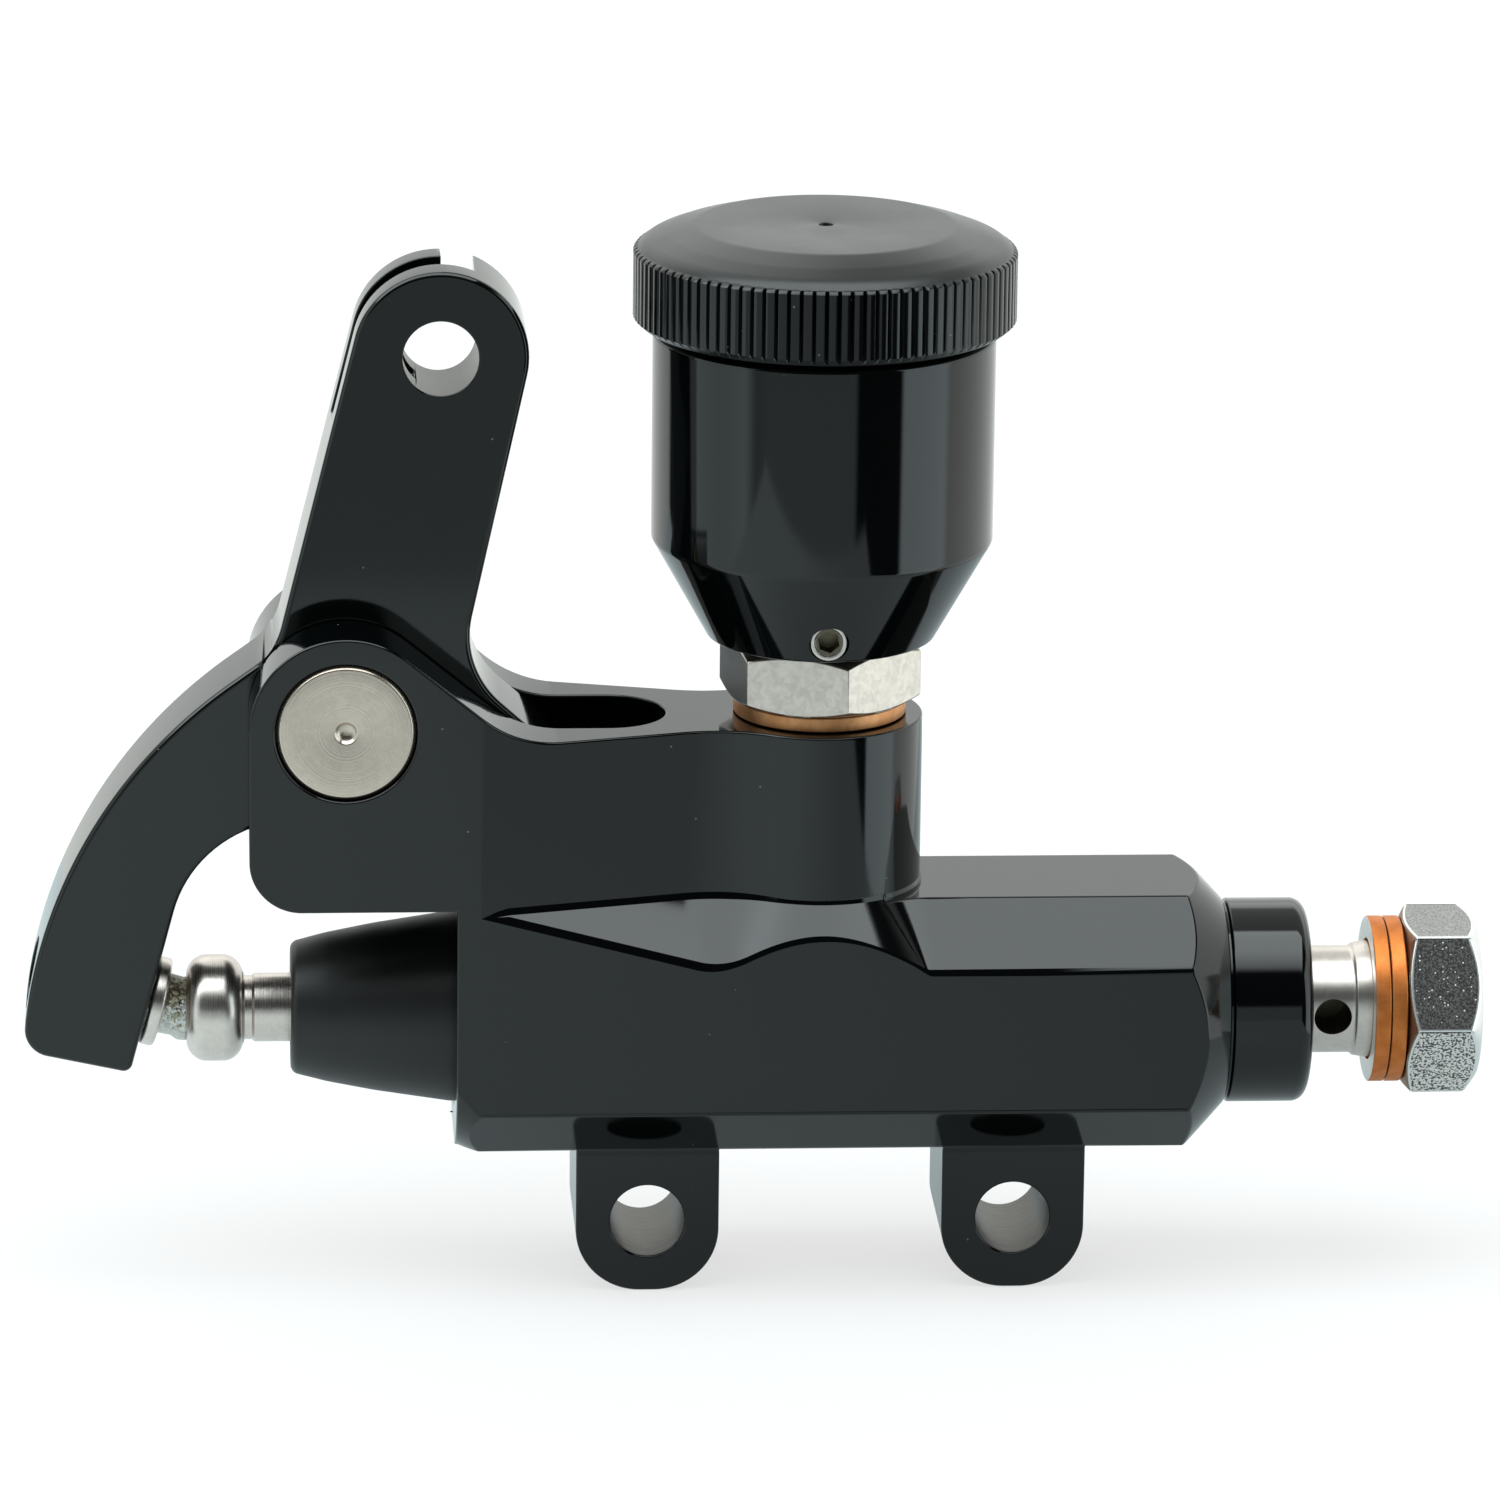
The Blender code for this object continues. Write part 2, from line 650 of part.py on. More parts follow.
def adjuster_lock_nut():
    """A thin round nut against the inner face of the lever's foot."""
    inner = ADJUSTER_R + GAP
    edge = 0.3
    left, right = NUT_ENDS
    profile = [
        (inner, left), (NUT_R - edge, left), (NUT_R, left + edge),
        (NUT_R, right - edge), (NUT_R - edge, right), (inner, right),
    ]
    return onto_adjuster_axis(turned("adjuster_lock_nut", profile, "X", (0, 0), SMALL, STEEL))


def pushrod():
    """Round-edged bead, plain rod, and a ball that sits in the piston."""
    bead_right = BEAD_X + BEAD_HALF_WIDTH
    flat = BEAD_HALF_WIDTH - BEAD_ROUND
    inset = BEAD_R - BEAD_ROUND
    crown = arc((inset, BEAD_X - flat), BEAD_ROUND, radians(-78), 0, radians(26))
    crown += arc((inset, BEAD_X + flat), BEAD_ROUND, 0, pi / 2, radians(30))
    mouth_r, mouth_x = crown[0]
    cup_r = hypot(mouth_r, mouth_x - CONTACT_X)
    opening = atan2(mouth_r, mouth_x - CONTACT_X)
    cup = [
        (cup_r * sin(opening * i / 4), CONTACT_X + cup_r * cos(opening * i / 4)) for i in range(4)
    ]
    cup[0] = (0, CONTACT_X + cup_r)
    joint = asin(ROD_R / BALL_R)
    angles = [joint + (pi - joint) * i / 6 for i in range(7)]
    ball = [(BALL_R * sin(a), BALL_X - BALL_R * cos(a)) for a in angles]
    ball[-1] = (0, BALL_X + BALL_R)
    neck = ROD_R - GAP
    groove = [(neck, bead_right), (neck, bead_right + 0.9), (ROD_R, bead_right + 1.1)]
    return turned("pushrod", cup + crown + groove + ball, "X", (0, BORE_Z), SMALL, STEEL)


def dust_boot():
    """A bullet-shaped rubber cover, open at both ends, pressed into the bore's mouth."""
    outer = [(8.3, -32.8), (7.8, -36.0), (7.25, -40.0), (6.3, -44.8), (5.75, -46.6), (5.2, -47.0)]
    inner = [(ROD_R + GAP, -47.0), (ROD_R + GAP, -45.6), (5.2, -45.0), (5.9, -40.0), (6.6, -35.0)]
    profile = outer + inner + [(6.9, -30.6), (8.3, -30.6)]
    return turned("dust_boot", profile, "X", (0, BORE_Z), 24, RUBBER)


# ---------------------------------------------------------------- inside the bore

def ring_x(name, inner, outer, left, right, spec, sides=24):
    profile = [(inner, left), (outer, left), (outer, right), (inner, right)]
    return turned(name, profile, "X", (0, BORE_Z), sides, spec)


def bore_circlip():
    """A spring ring in its groove, with a gap at the bottom to close it."""
    shape = ring_x("bore_circlip", 5.4, 7.6, -29.6, -28.8, STEEL)
    cut(shape, box("cut_circlip_gap", (-31.0, -2.0, BORE_Z - 9), (-27.0, 2.0, BORE_Z - 4)))
    return shape


def stop_washer():
    return ring_x("stop_washer", ROD_R + 1.5, 6.7, -28.5, -27.5, STEEL)


def piston():
    """Socket for the pushrod, rear seal groove, fluid waist and nose for the cup."""
    seat = BALL_R + GAP
    mouth = sqrt(seat**2 - (PISTON_LEFT - BALL_X) ** 2)
    start = atan2(mouth, PISTON_LEFT - BALL_X)
    socket = [(seat * sin(a), BALL_X + seat * cos(a)) for a in [start * i / 5 for i in range(6)]]
    socket[0] = (0, BALL_X + seat)
    wall = [
        (6.4, PISTON_LEFT), (PISTON_R, -26.4),
        (PISTON_R, -16.6), (5.2, -16.6), (5.2, -13.6), (PISTON_R, -13.6),
        (PISTON_R, -11.0), (4.6, -10.0), (4.6, -4.4), (PISTON_R, -3.9),
        (PISTON_R, -2.5), (3.4, -2.5), (3.4, CUP_FRONT), (4.2, CUP_FRONT + 0.4),
        (4.2, CUP_FRONT + 1.0), (0, CUP_FRONT + 1.0),
    ]
    return turned("piston", socket + wall, "X", (0, BORE_Z), 24, STEEL)


def lip_seal(name, inner, left, right):
    """A U-section rubber cup whose open side faces the fluid."""
    middle = (inner + 6.9) / 2
    profile = [
        (inner, left), (6.6, left), (6.9, right), (6.3, right),
        (middle, left + 1.2), (inner + 0.4, right), (inner, right),
    ]
    return turned(name, profile, "X", (0, BORE_Z), 24, RUBBER)


def spring_seat():
    left = CUP_FRONT + 1.3
    profile = [
        (0, left), (4.2, left), (6.3, left), (6.3, left + 0.7), (4.2, left + 0.7),
        (4.2, left + 2.2), (0, left + 2.2),
    ]
    return turned("spring_seat", profile, "X", (0, BORE_Z), SMALL, STEEL)


def return_spring():
    """A round-wire coil that pushes the piston back."""
    left = CUP_FRONT + 2.0 + GAP + SPRING_WIRE_R
    right = SPRING_END - SPRING_WIRE_R
    per_turn = 10
    sides = 5
    count = SPRING_TURNS * per_turn
    bm = bmesh.new()
    rings = []
    for i in range(count + 1):
        turn = 2 * pi * i / per_turn
        along = left + (right - left) * i / count
        radial = Vector((0, cos(turn), sin(turn)))
        centre = Vector((along, 0, BORE_Z)) + radial * SPRING_COIL_R
        ring = []
        for k in range(sides):
            a = 2 * pi * k / sides
            offset = radial * SPRING_WIRE_R * cos(a) + Vector((1, 0, 0)) * SPRING_WIRE_R * sin(a)
            ring.append(bm.verts.new((centre + offset) * MM))
        rings.append(ring)
    skin(bm, rings)
    return add_object("return_spring", bm, STEEL)


# ---------------------------------------------------------------- reservoir

def union_body():
    """Threaded shank, chamfered hexagon and a spigot for the reservoir."""
    shape = prism(
        "hex_union", hexagon((TANK_X, 0), UNION_ACROSS_FLATS, UNION_TURN - pi / 2), "Z",
        UNION_BOTTOM, UNION_TOP, STEEL,
    )
    trim = hexagon_trim(
        "keep_union_corners", "Z", (TANK_X, 0), UNION_ACROSS_FLATS,
        (UNION_BOTTOM, 0.1, 0.75), (UNION_TOP, 0.1, 0.75),
    )
    combine(shape, trim, "INTERSECT")
    spigot = [
        (0, 27.4), (4.5, 27.4), (4.9, 27.9), (4.9, 50.8), (4.5, 51.2), (0, 51.2),
    ]
    join(shape, turned("add_union_spigot", spigot, "Z", (TANK_X, 0), SMALL))
    cut(shape, cylinder("cut_union_bore", "Z", (TANK_X, 0), 2.5, 26, 52, 12))
    groove = [(4.2, 49.0), (6.0, 49.0), (6.0, 50.4), (4.2, 50.4)]
    cut(shape, turned("cut_union_groove", groove, "Z", (TANK_X, 0), SMALL))
    return shape


def union_seal_washer():
    profile = [
        (5.2, TANK_BOSS_TOP + FACE_GAP), (7.5, TANK_BOSS_TOP + FACE_GAP),
        (7.5, UNION_BOTTOM - FACE_GAP), (5.2, UNION_BOTTOM - FACE_GAP),
    ]
    return turned("union_copper_washer", profile, "Z", (TANK_X, 0), ROUND, COPPER)


def union_o_ring():
    profile = circle((4.95, 49.7), 0.5, 6)
    return turned("union_o_ring", profile, "Z", (TANK_X, 0), SMALL, RUBBER)


def reservoir():
    """A turned cup: spigot socket below, cone, straight wall and threaded neck."""
    floor = 52.2
    inner_r = TANK_R - TANK_WALL
    profile = [
        (5.2 + GAP, TANK_BOTTOM), (TANK_BOTTOM_R - 0.7, TANK_BOTTOM), (TANK_BOTTOM_R, TANK_BOTTOM + 0.5),
        (TANK_R, TANK_SHOULDER), (TANK_R, 71.6), (TANK_R - 0.5, 72.1), (13.9, 72.3), (13.9, TANK_RIM),
        (12.2, TANK_RIM), (12.2, 73.0), (inner_r, 71.5), (inner_r, 55.5), (7.0, floor + 0.6),
        (3.0, floor), (3.0, 51.5), (5.2 + GAP, 51.5),
    ]
    shape = turned("reservoir", profile, "Z", (TANK_X, 0), ROUND, ANODISED)
    hole = cylinder("cut_set_screw_hole", "Y", (TANK_X, SET_SCREW_Z), 1.6 + 0.1, -16, -5, 16)
    cut(shape, hole)
    return shape


def reservoir_set_screw():
    """A grub screw that clamps the reservoir on the union's spigot."""
    centre = (TANK_X, SET_SCREW_Z)
    shape = cylinder("reservoir_set_screw", "Y", centre, 1.6, -10.3, -5.3, 16, ZINC)
    cut(shape, prism("cut_set_screw_socket", hexagon(centre, 1.7, radians(40)), "Y", -12, -8.6))
    return shape


def diaphragm():
    """A convoluted rubber bellows hanging in the reservoir from its flange."""
    skin = 0.8
    outer = [(11.2, 76.9), (11.2, 72.0), (9.6, 70.6), (9.6, 68.6), (8.0, 67.2), (8.0, 65.8), (0, 65.8)]
    profile = [(0, outer[-1][1] + skin)]
    profile += [(r - skin, z + skin) for r, z in reversed(outer[1:-1])]
    profile += [(outer[0][0] - skin, 78.1), (13.6, 78.1), (13.6, TANK_RIM + FACE_GAP)]
    profile += [(outer[0][0], TANK_RIM + FACE_GAP)] + outer[1:]
    return turned("diaphragm", profile, "Z", (TANK_X, 0), 20, RUBBER)


def slip_ring():
    profile = [(10.6, 78.3), (13.6, 78.3), (13.6, 78.9), (10.6, 78.9)]
    return turned("slip_ring", profile, "Z", (TANK_X, 0), 24, PLASTIC)


def cap():
    """Knurled screw cap with a sloping shoulder, a flat top and a breather hole."""
    valley = CAP_R - 0.35
    bm = bmesh.new()
    levels = [
        (valley, CAP_BOTTOM), (CAP_R, CAP_BOTTOM + 0.35), (CAP_R, CAP_EDGE - 0.3), (valley, CAP_EDGE),
    ]
    count = CAP_TEETH * 2
    rings = []
    for radius, z in levels:
        ring = []
        for i in range(count):
            r = radius if i % 2 else min(radius, valley)
            a = 2 * pi * i / count
            ring.append(bm.verts.new(Vector((TANK_X + r * cos(a), r * sin(a), z)) * MM))
        rings.append(ring)
    skin(bm, rings)
    shape = add_object("cap", bm, ANODISED)
    dome = [
        (0, CAP_EDGE - 1), (valley, CAP_EDGE - 1), (valley, CAP_EDGE + 0.1),
        (15.5, 79.75), (13.6, 80.5), (11.9, 81.0), (CAP_FLAT_R, CAP_TOP), (0, CAP_TOP),
    ]
    join(shape, turned("add_cap_dome", dome, "Z", (TANK_X, 0), ROUND))
    hollow = [
        (0, CAP_BOTTOM - THROUGH), (CAP_R - 1.6, CAP_BOTTOM - THROUGH), (CAP_R - 1.6, CAP_BOTTOM + 0.4),
        (13.9 + GAP, CAP_BOTTOM + 0.8), (13.9 + GAP, 79.1), (0, 79.1),
    ]
    cut(shape, turned("cut_cap_hollow", hollow, "Z", (TANK_X, 0), 24))
    cut(shape, cylinder("cut_breather", "Z", (TANK_X, 0), 0.55, 78, CAP_TOP + THROUGH, 12))
    return shape


# ---------------------------------------------------------------- outlet bolt

def banjo_bolt():
    """Hollow bolt: threaded end in the block, cross-drilled neck, collar and hexagon."""
    shape = prism(
        "banjo_bolt", hexagon((0, BORE_Z), BOLT_ACROSS_FLATS, BOLT_TURN), "X",
        BOLT_HEAD_LEFT, BOLT_HEAD_RIGHT, ZINC,
    )
    trim = hexagon_trim(
        "keep_bolt_corners", "X", (0, BORE_Z), BOLT_ACROSS_FLATS,
        (BOLT_HEAD_LEFT, 0.3, 0.8), (BOLT_HEAD_RIGHT, 0.4, 1.2),
    )
    combine(shape, trim, "INTERSECT")
    shank = [
        (0, 34.0), (4.4, 34.0), (BOLT_THREAD_R, 34.5), (BOLT_THREAD_R, 39.6), (BOLT_NECK_R, 40.2),
        (BOLT_NECK_R, BOLT_COLLAR_X - 0.5), (BOLT_COLLAR_R, BOLT_COLLAR_X),
        (BOLT_COLLAR_R, BOLT_HEAD_LEFT + 1), (0, BOLT_HEAD_LEFT + 1),
    ]
    join(shape, turned("add_bolt_shank", shank, "X", (0, BORE_Z), SMALL))
    cut(shape, cylinder("cut_bolt_bore", "X", (0, BORE_Z), 1.7, 32, 47, 12))
    cut(shape, cylinder("cut_bolt_cross_hole", "Y", (BOLT_HOLE_X, BORE_Z), BOLT_HOLE_R, -8, 0.5, 12))
    return shape


def banjo_washer(name, left):
    return ring_x(name, BOLT_COLLAR_R + GAP, WASHER_R, left, left + WASHER_THICK, COPPER, ROUND)


# ---------------------------------------------------------------- assembly

def build():
    clear_scene()
    body()
    pivot_pin()
    pin_lock_screw()
    lever_piece = lever()
    bush = lever_bush()
    nut = adjuster_lock_nut()
    screw, socket = adjuster_screw()
    rod = pushrod()
    dust_boot()
    bore_circlip()
    stop_washer()
    piston_piece = piston()
    cup = lip_seal("primary_cup", 3.4 + GAP, -2.2, CUP_FRONT - 0.3)
    rear = lip_seal("secondary_seal", 5.2 + GAP, -16.3, -13.9)
    seat = spring_seat()
    return_spring()
    union_body()
    union_seal_washer()
    union_o_ring()
    reservoir()
    reservoir_set_screw()
    diaphragm_piece = diaphragm()
    ring = slip_ring()
    cap_piece = cap()
    banjo_bolt()
    banjo_washer("banjo_washer_inner", WASHER_LEFT)
    banjo_washer("banjo_washer_outer", WASHER_LEFT + WASHER_THICK + FACE_GAP)

    group("lever_axis", (PIVOT_X, 0, PIVOT_Z), [lever_piece, bush, nut])
    group("adjuster_axis", (CONTACT_X, 0, CONTACT_Z), [screw, socket])
    group("rod_tilt_axis", (BALL_X, 0, BORE_Z), [rod])
    group("piston_axis", (PISTON_LEFT, 0, BORE_Z), [piston_piece, cup, rear, seat])
    group("cap_axis", (TANK_X, 0, CAP_BOTTOM), [diaphragm_piece, ring, cap_piece])


build()
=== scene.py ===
"""Looks for a cable-operated brake master cylinder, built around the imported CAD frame.

Visible pieces are rebuilt finely from the same dimensions as the CAD; hidden ones keep their
CAD mesh and get a finish of their own. Lengths are millimetres until a mesh is made.
"""

from math import acos, asin, atan2, cos, hypot, pi, radians, sin, sqrt, tan

import bmesh
import bpy
from mathutils import Matrix, Vector


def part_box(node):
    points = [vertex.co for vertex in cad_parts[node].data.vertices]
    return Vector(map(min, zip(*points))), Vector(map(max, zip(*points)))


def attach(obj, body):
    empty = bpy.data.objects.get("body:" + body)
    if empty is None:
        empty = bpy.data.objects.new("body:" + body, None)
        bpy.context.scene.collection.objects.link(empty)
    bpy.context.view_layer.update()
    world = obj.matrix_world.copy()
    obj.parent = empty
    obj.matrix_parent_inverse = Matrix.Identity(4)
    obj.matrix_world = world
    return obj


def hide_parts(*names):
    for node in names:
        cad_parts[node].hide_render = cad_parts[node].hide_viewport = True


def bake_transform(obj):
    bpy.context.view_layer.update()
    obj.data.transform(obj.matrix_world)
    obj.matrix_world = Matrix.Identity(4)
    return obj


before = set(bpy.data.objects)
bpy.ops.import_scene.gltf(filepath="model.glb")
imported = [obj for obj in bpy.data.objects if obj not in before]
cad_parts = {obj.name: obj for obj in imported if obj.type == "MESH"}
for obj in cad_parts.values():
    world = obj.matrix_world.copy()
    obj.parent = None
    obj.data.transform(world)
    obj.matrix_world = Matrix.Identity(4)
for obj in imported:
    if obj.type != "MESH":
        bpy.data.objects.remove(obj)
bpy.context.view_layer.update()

MM = 0.001
FINE = radians(4)       # longest step along a visible round outline
SHARP = radians(30)     # edges that turn by more are shaded sharp
CREASE = radians(14)    # the same, on pieces with softened edges
SIDES = 160             # sides of the large turned pieces


def box_mm(node):
    low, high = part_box(node)
    return low / MM, high / MM


def middle(node, axis):
    low, high = box_mm(node)
    return (low[axis] + high[axis]) / 2


X, Y, Z = 0, 1, 2

# Places and sizes read from the frame
BORE_Z = round(middle("piston", Z), 3)
TANK_X = round(middle("reservoir", X), 3)
BLOCK_HALF = round(box_mm("cylinder_body")[1][Y], 3)
OUTLET_X = round(box_mm("cylinder_body")[1][X], 3)
LUG_BOTTOM = round(box_mm("cylinder_body")[0][Z], 3)
PIVOT_X = round(middle("pivot_pin", X), 3)
PIVOT_Z = round(middle("pivot_pin", Z), 3)
LEVER_HALF = round(box_mm("lever")[1][Y], 3)
CAP_BOTTOM = round(box_mm("cap")[0][Z], 3)
CAP_TOP = round(box_mm("cap")[1][Z], 3)
CAP_R = round(box_mm("cap")[1][Y], 3)
TANK_BOTTOM = round(box_mm("reservoir")[0][Z], 3)
TANK_R = round(box_mm("reservoir")[1][Y], 3)

# Block
BLOCK_TOP = 22.8
BLOCK_CHAMFER = 4.85
BLOCK_LEFT = -32.8
CONE_X = 30.9
CONE_END_X = 34.6
CONE_R = 12.93
CONE_SLOPE = 1.08
LEFT_CONE_R = 12.0
LEFT_CONE_SLOPE = 0.53
BOSS_R = 8.95
BOSS_EDGE_R = 1.3
THROUGH = 2.0           # how far cutters run past what they cut
OUTSIDE = 0.4           # how far the side cutter runs past the block's sides
# Widths along x of two narrow flats: the edge break along the chamfer's lower edge, and
# the root where the arm's wall meets the chamfer
ROOT_BOSS = 0.2
EDGE_FLAT = [(-12.0, 0.43), (-9.0, 0.32), (-1.0, 0.28), (3.0, 0.18), (7.0, 0.2), (9.0, 0.4)]
ROOT_FLAT = [(-9.0, 0.34), (-4.0, ROOT_BOSS), (-3.0, ROOT_BOSS)]
EDGE_BREAK = 0.22

# Bore, and the well under the reservoir
BOOT_SEAT_R = 8.45
BOOT_SEAT_X = -30.2
MOUTH_BREAK = 0.3
THROAT_R = 6.9
CIRCLIP_GROOVE = (7.9, -29.8, -28.6)    # radius, left, right
BORE_R = 7.0
BORE_END_X = 30.0
PASSAGE_R = 2.0
OUTLET_BORE_X = 32.0
OUTLET_BORE_R = 5.1
OUTLET_BREAK = 0.6
BORE_LIMIT = 32.5       # the bore's own edges lie closer than this to the middle
WELL_R = 5.2
WELL_BOTTOM = 27.0

# Lugs
LUG_X = 16.0
LUG_HALF_WIDTH = 6.25
LUG_CORNER_R = 5.6
LUG_FILLET = 0.5
LUG_ROOT = 8.0          # top of the lug, inside the block
LUG_HOLE_Z = -6.5
LUG_HOLE_R = 3.25

# Ears, arm and boss
PIN_R = 6.0
PIN_PLAY = 0.08
LOCK_HOLE_Y = 8.2
LOCK_HOLE_R = 2.1
EAR_R = 8.3
EAR_LEAN = radians(39)
EAR_UNDERSIDE = 23.35
EAR_CORNER_R = 4.5
EAR_SLOT_HALF = 5.1
ARM_BEND_R = 10.0
SLOT_FLOOR = 29.2
SLOT_END_X = -14.5
SLOT_FLOOR_LEFT = -35.0
TAPER_START_X = -30.75  # where the arm's wall leaves the block's side
TAPER_ANGLE = radians(14.87)
TAPER_FILLET = 10.4
CHAMFER_TOP = 23.2      # height where the chamfer meets the arm's wall
STRIP_HALF = 5.8        # half width between the two chamfers at that height
STRIP_FILLET = 6.4
TANK_BOSS_R = 8.95
TANK_BOSS_TOP = 38.0

# Lever
HEAD_X = -34.1
HEAD_Z = 70.6
HEAD_R = 7.55
NIPPLE_R = 3.25
CABLE_SLOT_HALF = 1.45
CABLE_SLOT_FLOOR = [(HEAD_X + 0.2, HEAD_Z - 1.4), (-50.0, 61.4)]
NOTCH = (HEAD_X + 0.15, HEAD_X + 2.95)
LEVER_LEAN = radians(12.3)
SHANK_BEND = (-48.28, 44.77, 6.0)       # x, z, fillet
FOOT_TOP = (-52.5, 41.65)
FOOT_TIP = (-70.0, 11.6)
FOOT_ARC = (-26.4, 6.4)
FOOT_ARC_R = 43.9
# The foot's end and inner side, the heel in the slot and the shank's right side
LEVER_UNDERSIDE = [
    (-70.2, 8.8, 2.4), (-60.95, 6.8, 0.8), (-54.9, 29.6, 11.0), (-24.2, 29.6, 1.5),
    (-24.2, 35.9, 2.0), (-32.36, 43.2, 8.0),
]
BUSH_R = 7.5

# Adjuster, pushrod, boot and spring
CONTACT_X = -56.3
CONTACT_Z = 11.33
ADJUSTER_TILT = radians(14.4)
NOSE_R = 2.85
ADJUSTER_END = -13.2
ADJUSTER_HOLE_R = 3.1
ADJUSTER_THREAD = (2.72, 3.0, 0.6, 0.25, 0.1)   # root, crest, pitch, rise, flat top
LOCK_NUT = (3.05, 3.92, -3.15, -1.9)    # inner and outer radius, left, right
ROD_R = 3.0
ROD_DROP = 2.0          # how far the tilting rod sinks in the dust boot's lip
BEAD_X = -53.6
BEAD_R = 4.65
BEAD_HALF_WIDTH = 2.5
BEAD_ROUND = (1.95, 1.8)   # radial and sideways size of the bead's rounded shoulders
BOOT_LEFT = -47.0
BOOT_RIGHT = -30.6
BOOT_STRETCH = (-33.0, BOOT_LEFT)       # from its fixed to its moving end
BALL_X = -23.8
BALL_R = 4.4
SPRING_WIRE_R = 0.6
SPRING_TURNS = 7
SPRING_STRETCH = (29.5, 4.5)

# Union, reservoir and cap
UNION_ACROSS_FLATS = 15.6
UNION_BOTTOM = 39.45
UNION_TOP = 44.7
UNION_TURN = radians(12)
TANK_BOTTOM_R = 10.0
TANK_SHOULDER = 53.7
TANK_WALL_TOP = 71.75
TANK_RIM = 77.2
TANK_INNER_R = 13.15
TANK_HOLE_R = 5.2
TANK_THREAD = (13.55, 13.9, 0.8, 0.3, 0.2)      # as the adjuster's
CAP_EDGE = 79.1
CAP_FLAT_R = 10.8
CAP_SHOULDER = [(15.5, 79.75, 3.0), (13.6, 80.5, 4.0)]     # radius, height, fillet
CAP_CEILING = 79.1
CAP_BORE_R = 14.1
CAP_LIP_R = 14.0
CAP_TEETH = 96
KNURL_DEPTH = 0.4
BREATHER_R = 0.55
SET_SCREW_R = 1.6
SET_SCREW_Z = 46.9
SET_SCREW_FACE = -10.3

# Outlet bolt
BOLT_END = 34.0
BOLT_THREAD = (4.45, 4.8, 0.7, 0.25, 0.15)
BOLT_NECK_R = 4.7
BOLT_COLLAR_R = 5.1
BOLT_COLLAR_X = 46.1
BOLT_HOLE_X = 43.95
BOLT_HOLE_R = 1.65
WASHER_R = 7.27
BOLT_HEAD_LEFT = 50.3
BOLT_HEAD_RIGHT = 56.85
BOLT_ACROSS_FLATS = 14.5
BOLT_TURN = radians(2.8)

# Camera fitted to the object's outline
CAMERA_AZIMUTH = radians(3.655)
CAMERA_ELEVATION = radians(16.416)
CAMERA_ROLL = radians(0.674)
CAMERA_DISTANCE = 800.0
CAMERA_TARGET = (-7.082, 0.0, 34.394)
CAMERA_LENS = 221.2
FLOOR_Z = LUG_BOTTOM - 0.05

# Tints
BLOCK_BLACK = (0.0012, 0.0017, 0.0019)
LEVER_BLACK = (0.0016, 0.0024, 0.0016)
CAP_BLACK = (0.0060, 0.0072, 0.0070)
FRONT_LIGHT = (0.86, 1.0, 1.02)
TOP_LIGHT = (0.92, 1.0, 1.02)
BACK_LIGHT = (0.96, 1.0, 0.97)
STEEL_GREY = (0.68, 0.62, 0.575)
SPECK_GREY = (0.16, 0.16, 0.155)


# ---------------------------------------------------------------- mesh helpers

def add_object(name, bm):
    bmesh.ops.recalc_face_normals(bm, faces=bm.faces)
    mesh = bpy.data.meshes.new(name)
    bm.to_mesh(mesh)
    bm.free()
    mesh.shade_smooth()
    mesh.set_sharp_from_angle(angle=SHARP)
    obj = bpy.data.objects.new(name, mesh)
    bpy.context.scene.collection.objects.link(obj)
    return obj


def bake(obj):
    """Replace an object's mesh by what its modifiers make of it."""
    bpy.context.view_layer.update()
    depsgraph = bpy.context.evaluated_depsgraph_get()
    mesh = bpy.data.meshes.new_from_object(obj.evaluated_get(depsgraph))
    old = obj.data
    obj.modifiers.clear()
    obj.data = mesh
    bpy.data.meshes.remove(old)


def combine(target, tool, operation):
    modifier = target.modifiers.new("combine", "BOOLEAN")
    modifier.operation = operation
    modifier.solver = "EXACT"
    modifier.object = tool
    bake(target)
    target.data.set_sharp_from_angle(angle=SHARP)
    mesh = tool.data
    bpy.data.objects.remove(tool)
    bpy.data.meshes.remove(mesh)


def cut(target, *tools):
    for tool in tools:
        combine(target, tool, "DIFFERENCE")


def join(target, *tools):
    for tool in tools:
        combine(target, tool, "UNION")


def arc(centre, radius, start, end, step=FINE):
    count = max(2, round(abs(end - start) / step))
    angles = [start + (end - start) * i / count for i in range(count + 1)]
    return [(centre[0] + radius * cos(a), centre[1] + radius * sin(a)) for a in angles]


def rounded(corners, step=FINE, closed=True):
    """An outline from (a, b, radius) corners, each replaced by its fillet arc."""
    points = []
    last = len(corners) - 1
    for i, (a, b, radius) in enumerate(corners):
        if radius == 0 or (not closed and i in (0, last)):
            points.append((a, b))
            continue
        here = Vector((a, b))
        before = (Vector(corners[i - 1][:2]) - here).normalized()
        after = (Vector(corners[(i + 1) % len(corners)][:2]) - here).normalized()
        half = acos(max(-1.0, min(1.0, before.dot(after)))) / 2
        centre = here + (before + after).normalized() * radius / sin(half)
        start = here + before * radius / tan(half) - centre
        end = here + after * radius / tan(half) - centre
        first = atan2(start.y, start.x)
        turn = (atan2(end.y, end.x) - first + pi) % (2 * pi) - pi
        points += arc(centre, radius, first, first + turn, step)
    return points


def circle(centre, radius, sides, turn=0.0):
    angles = [turn + 2 * pi * i / sides for i in range(sides)]
    return [(centre[0] + radius * cos(a), centre[1] + radius * sin(a)) for a in angles]


def rectangle(low, high):
    return [(low[0], low[1]), (high[0], low[1]), (high[0], high[1]), (low[0], high[1])]


def ridges(thread, start, stop):
    """The points of a thread's ridges along a turned profile, from start to just past stop."""
    root, crest, pitch, rise, land = thread
    points = []
    place = start
    while place < stop:
        top = place + rise
        points += [(root, place), (crest, top), (crest, top + land), (root, place + pitch)]
        place += pitch
    return points


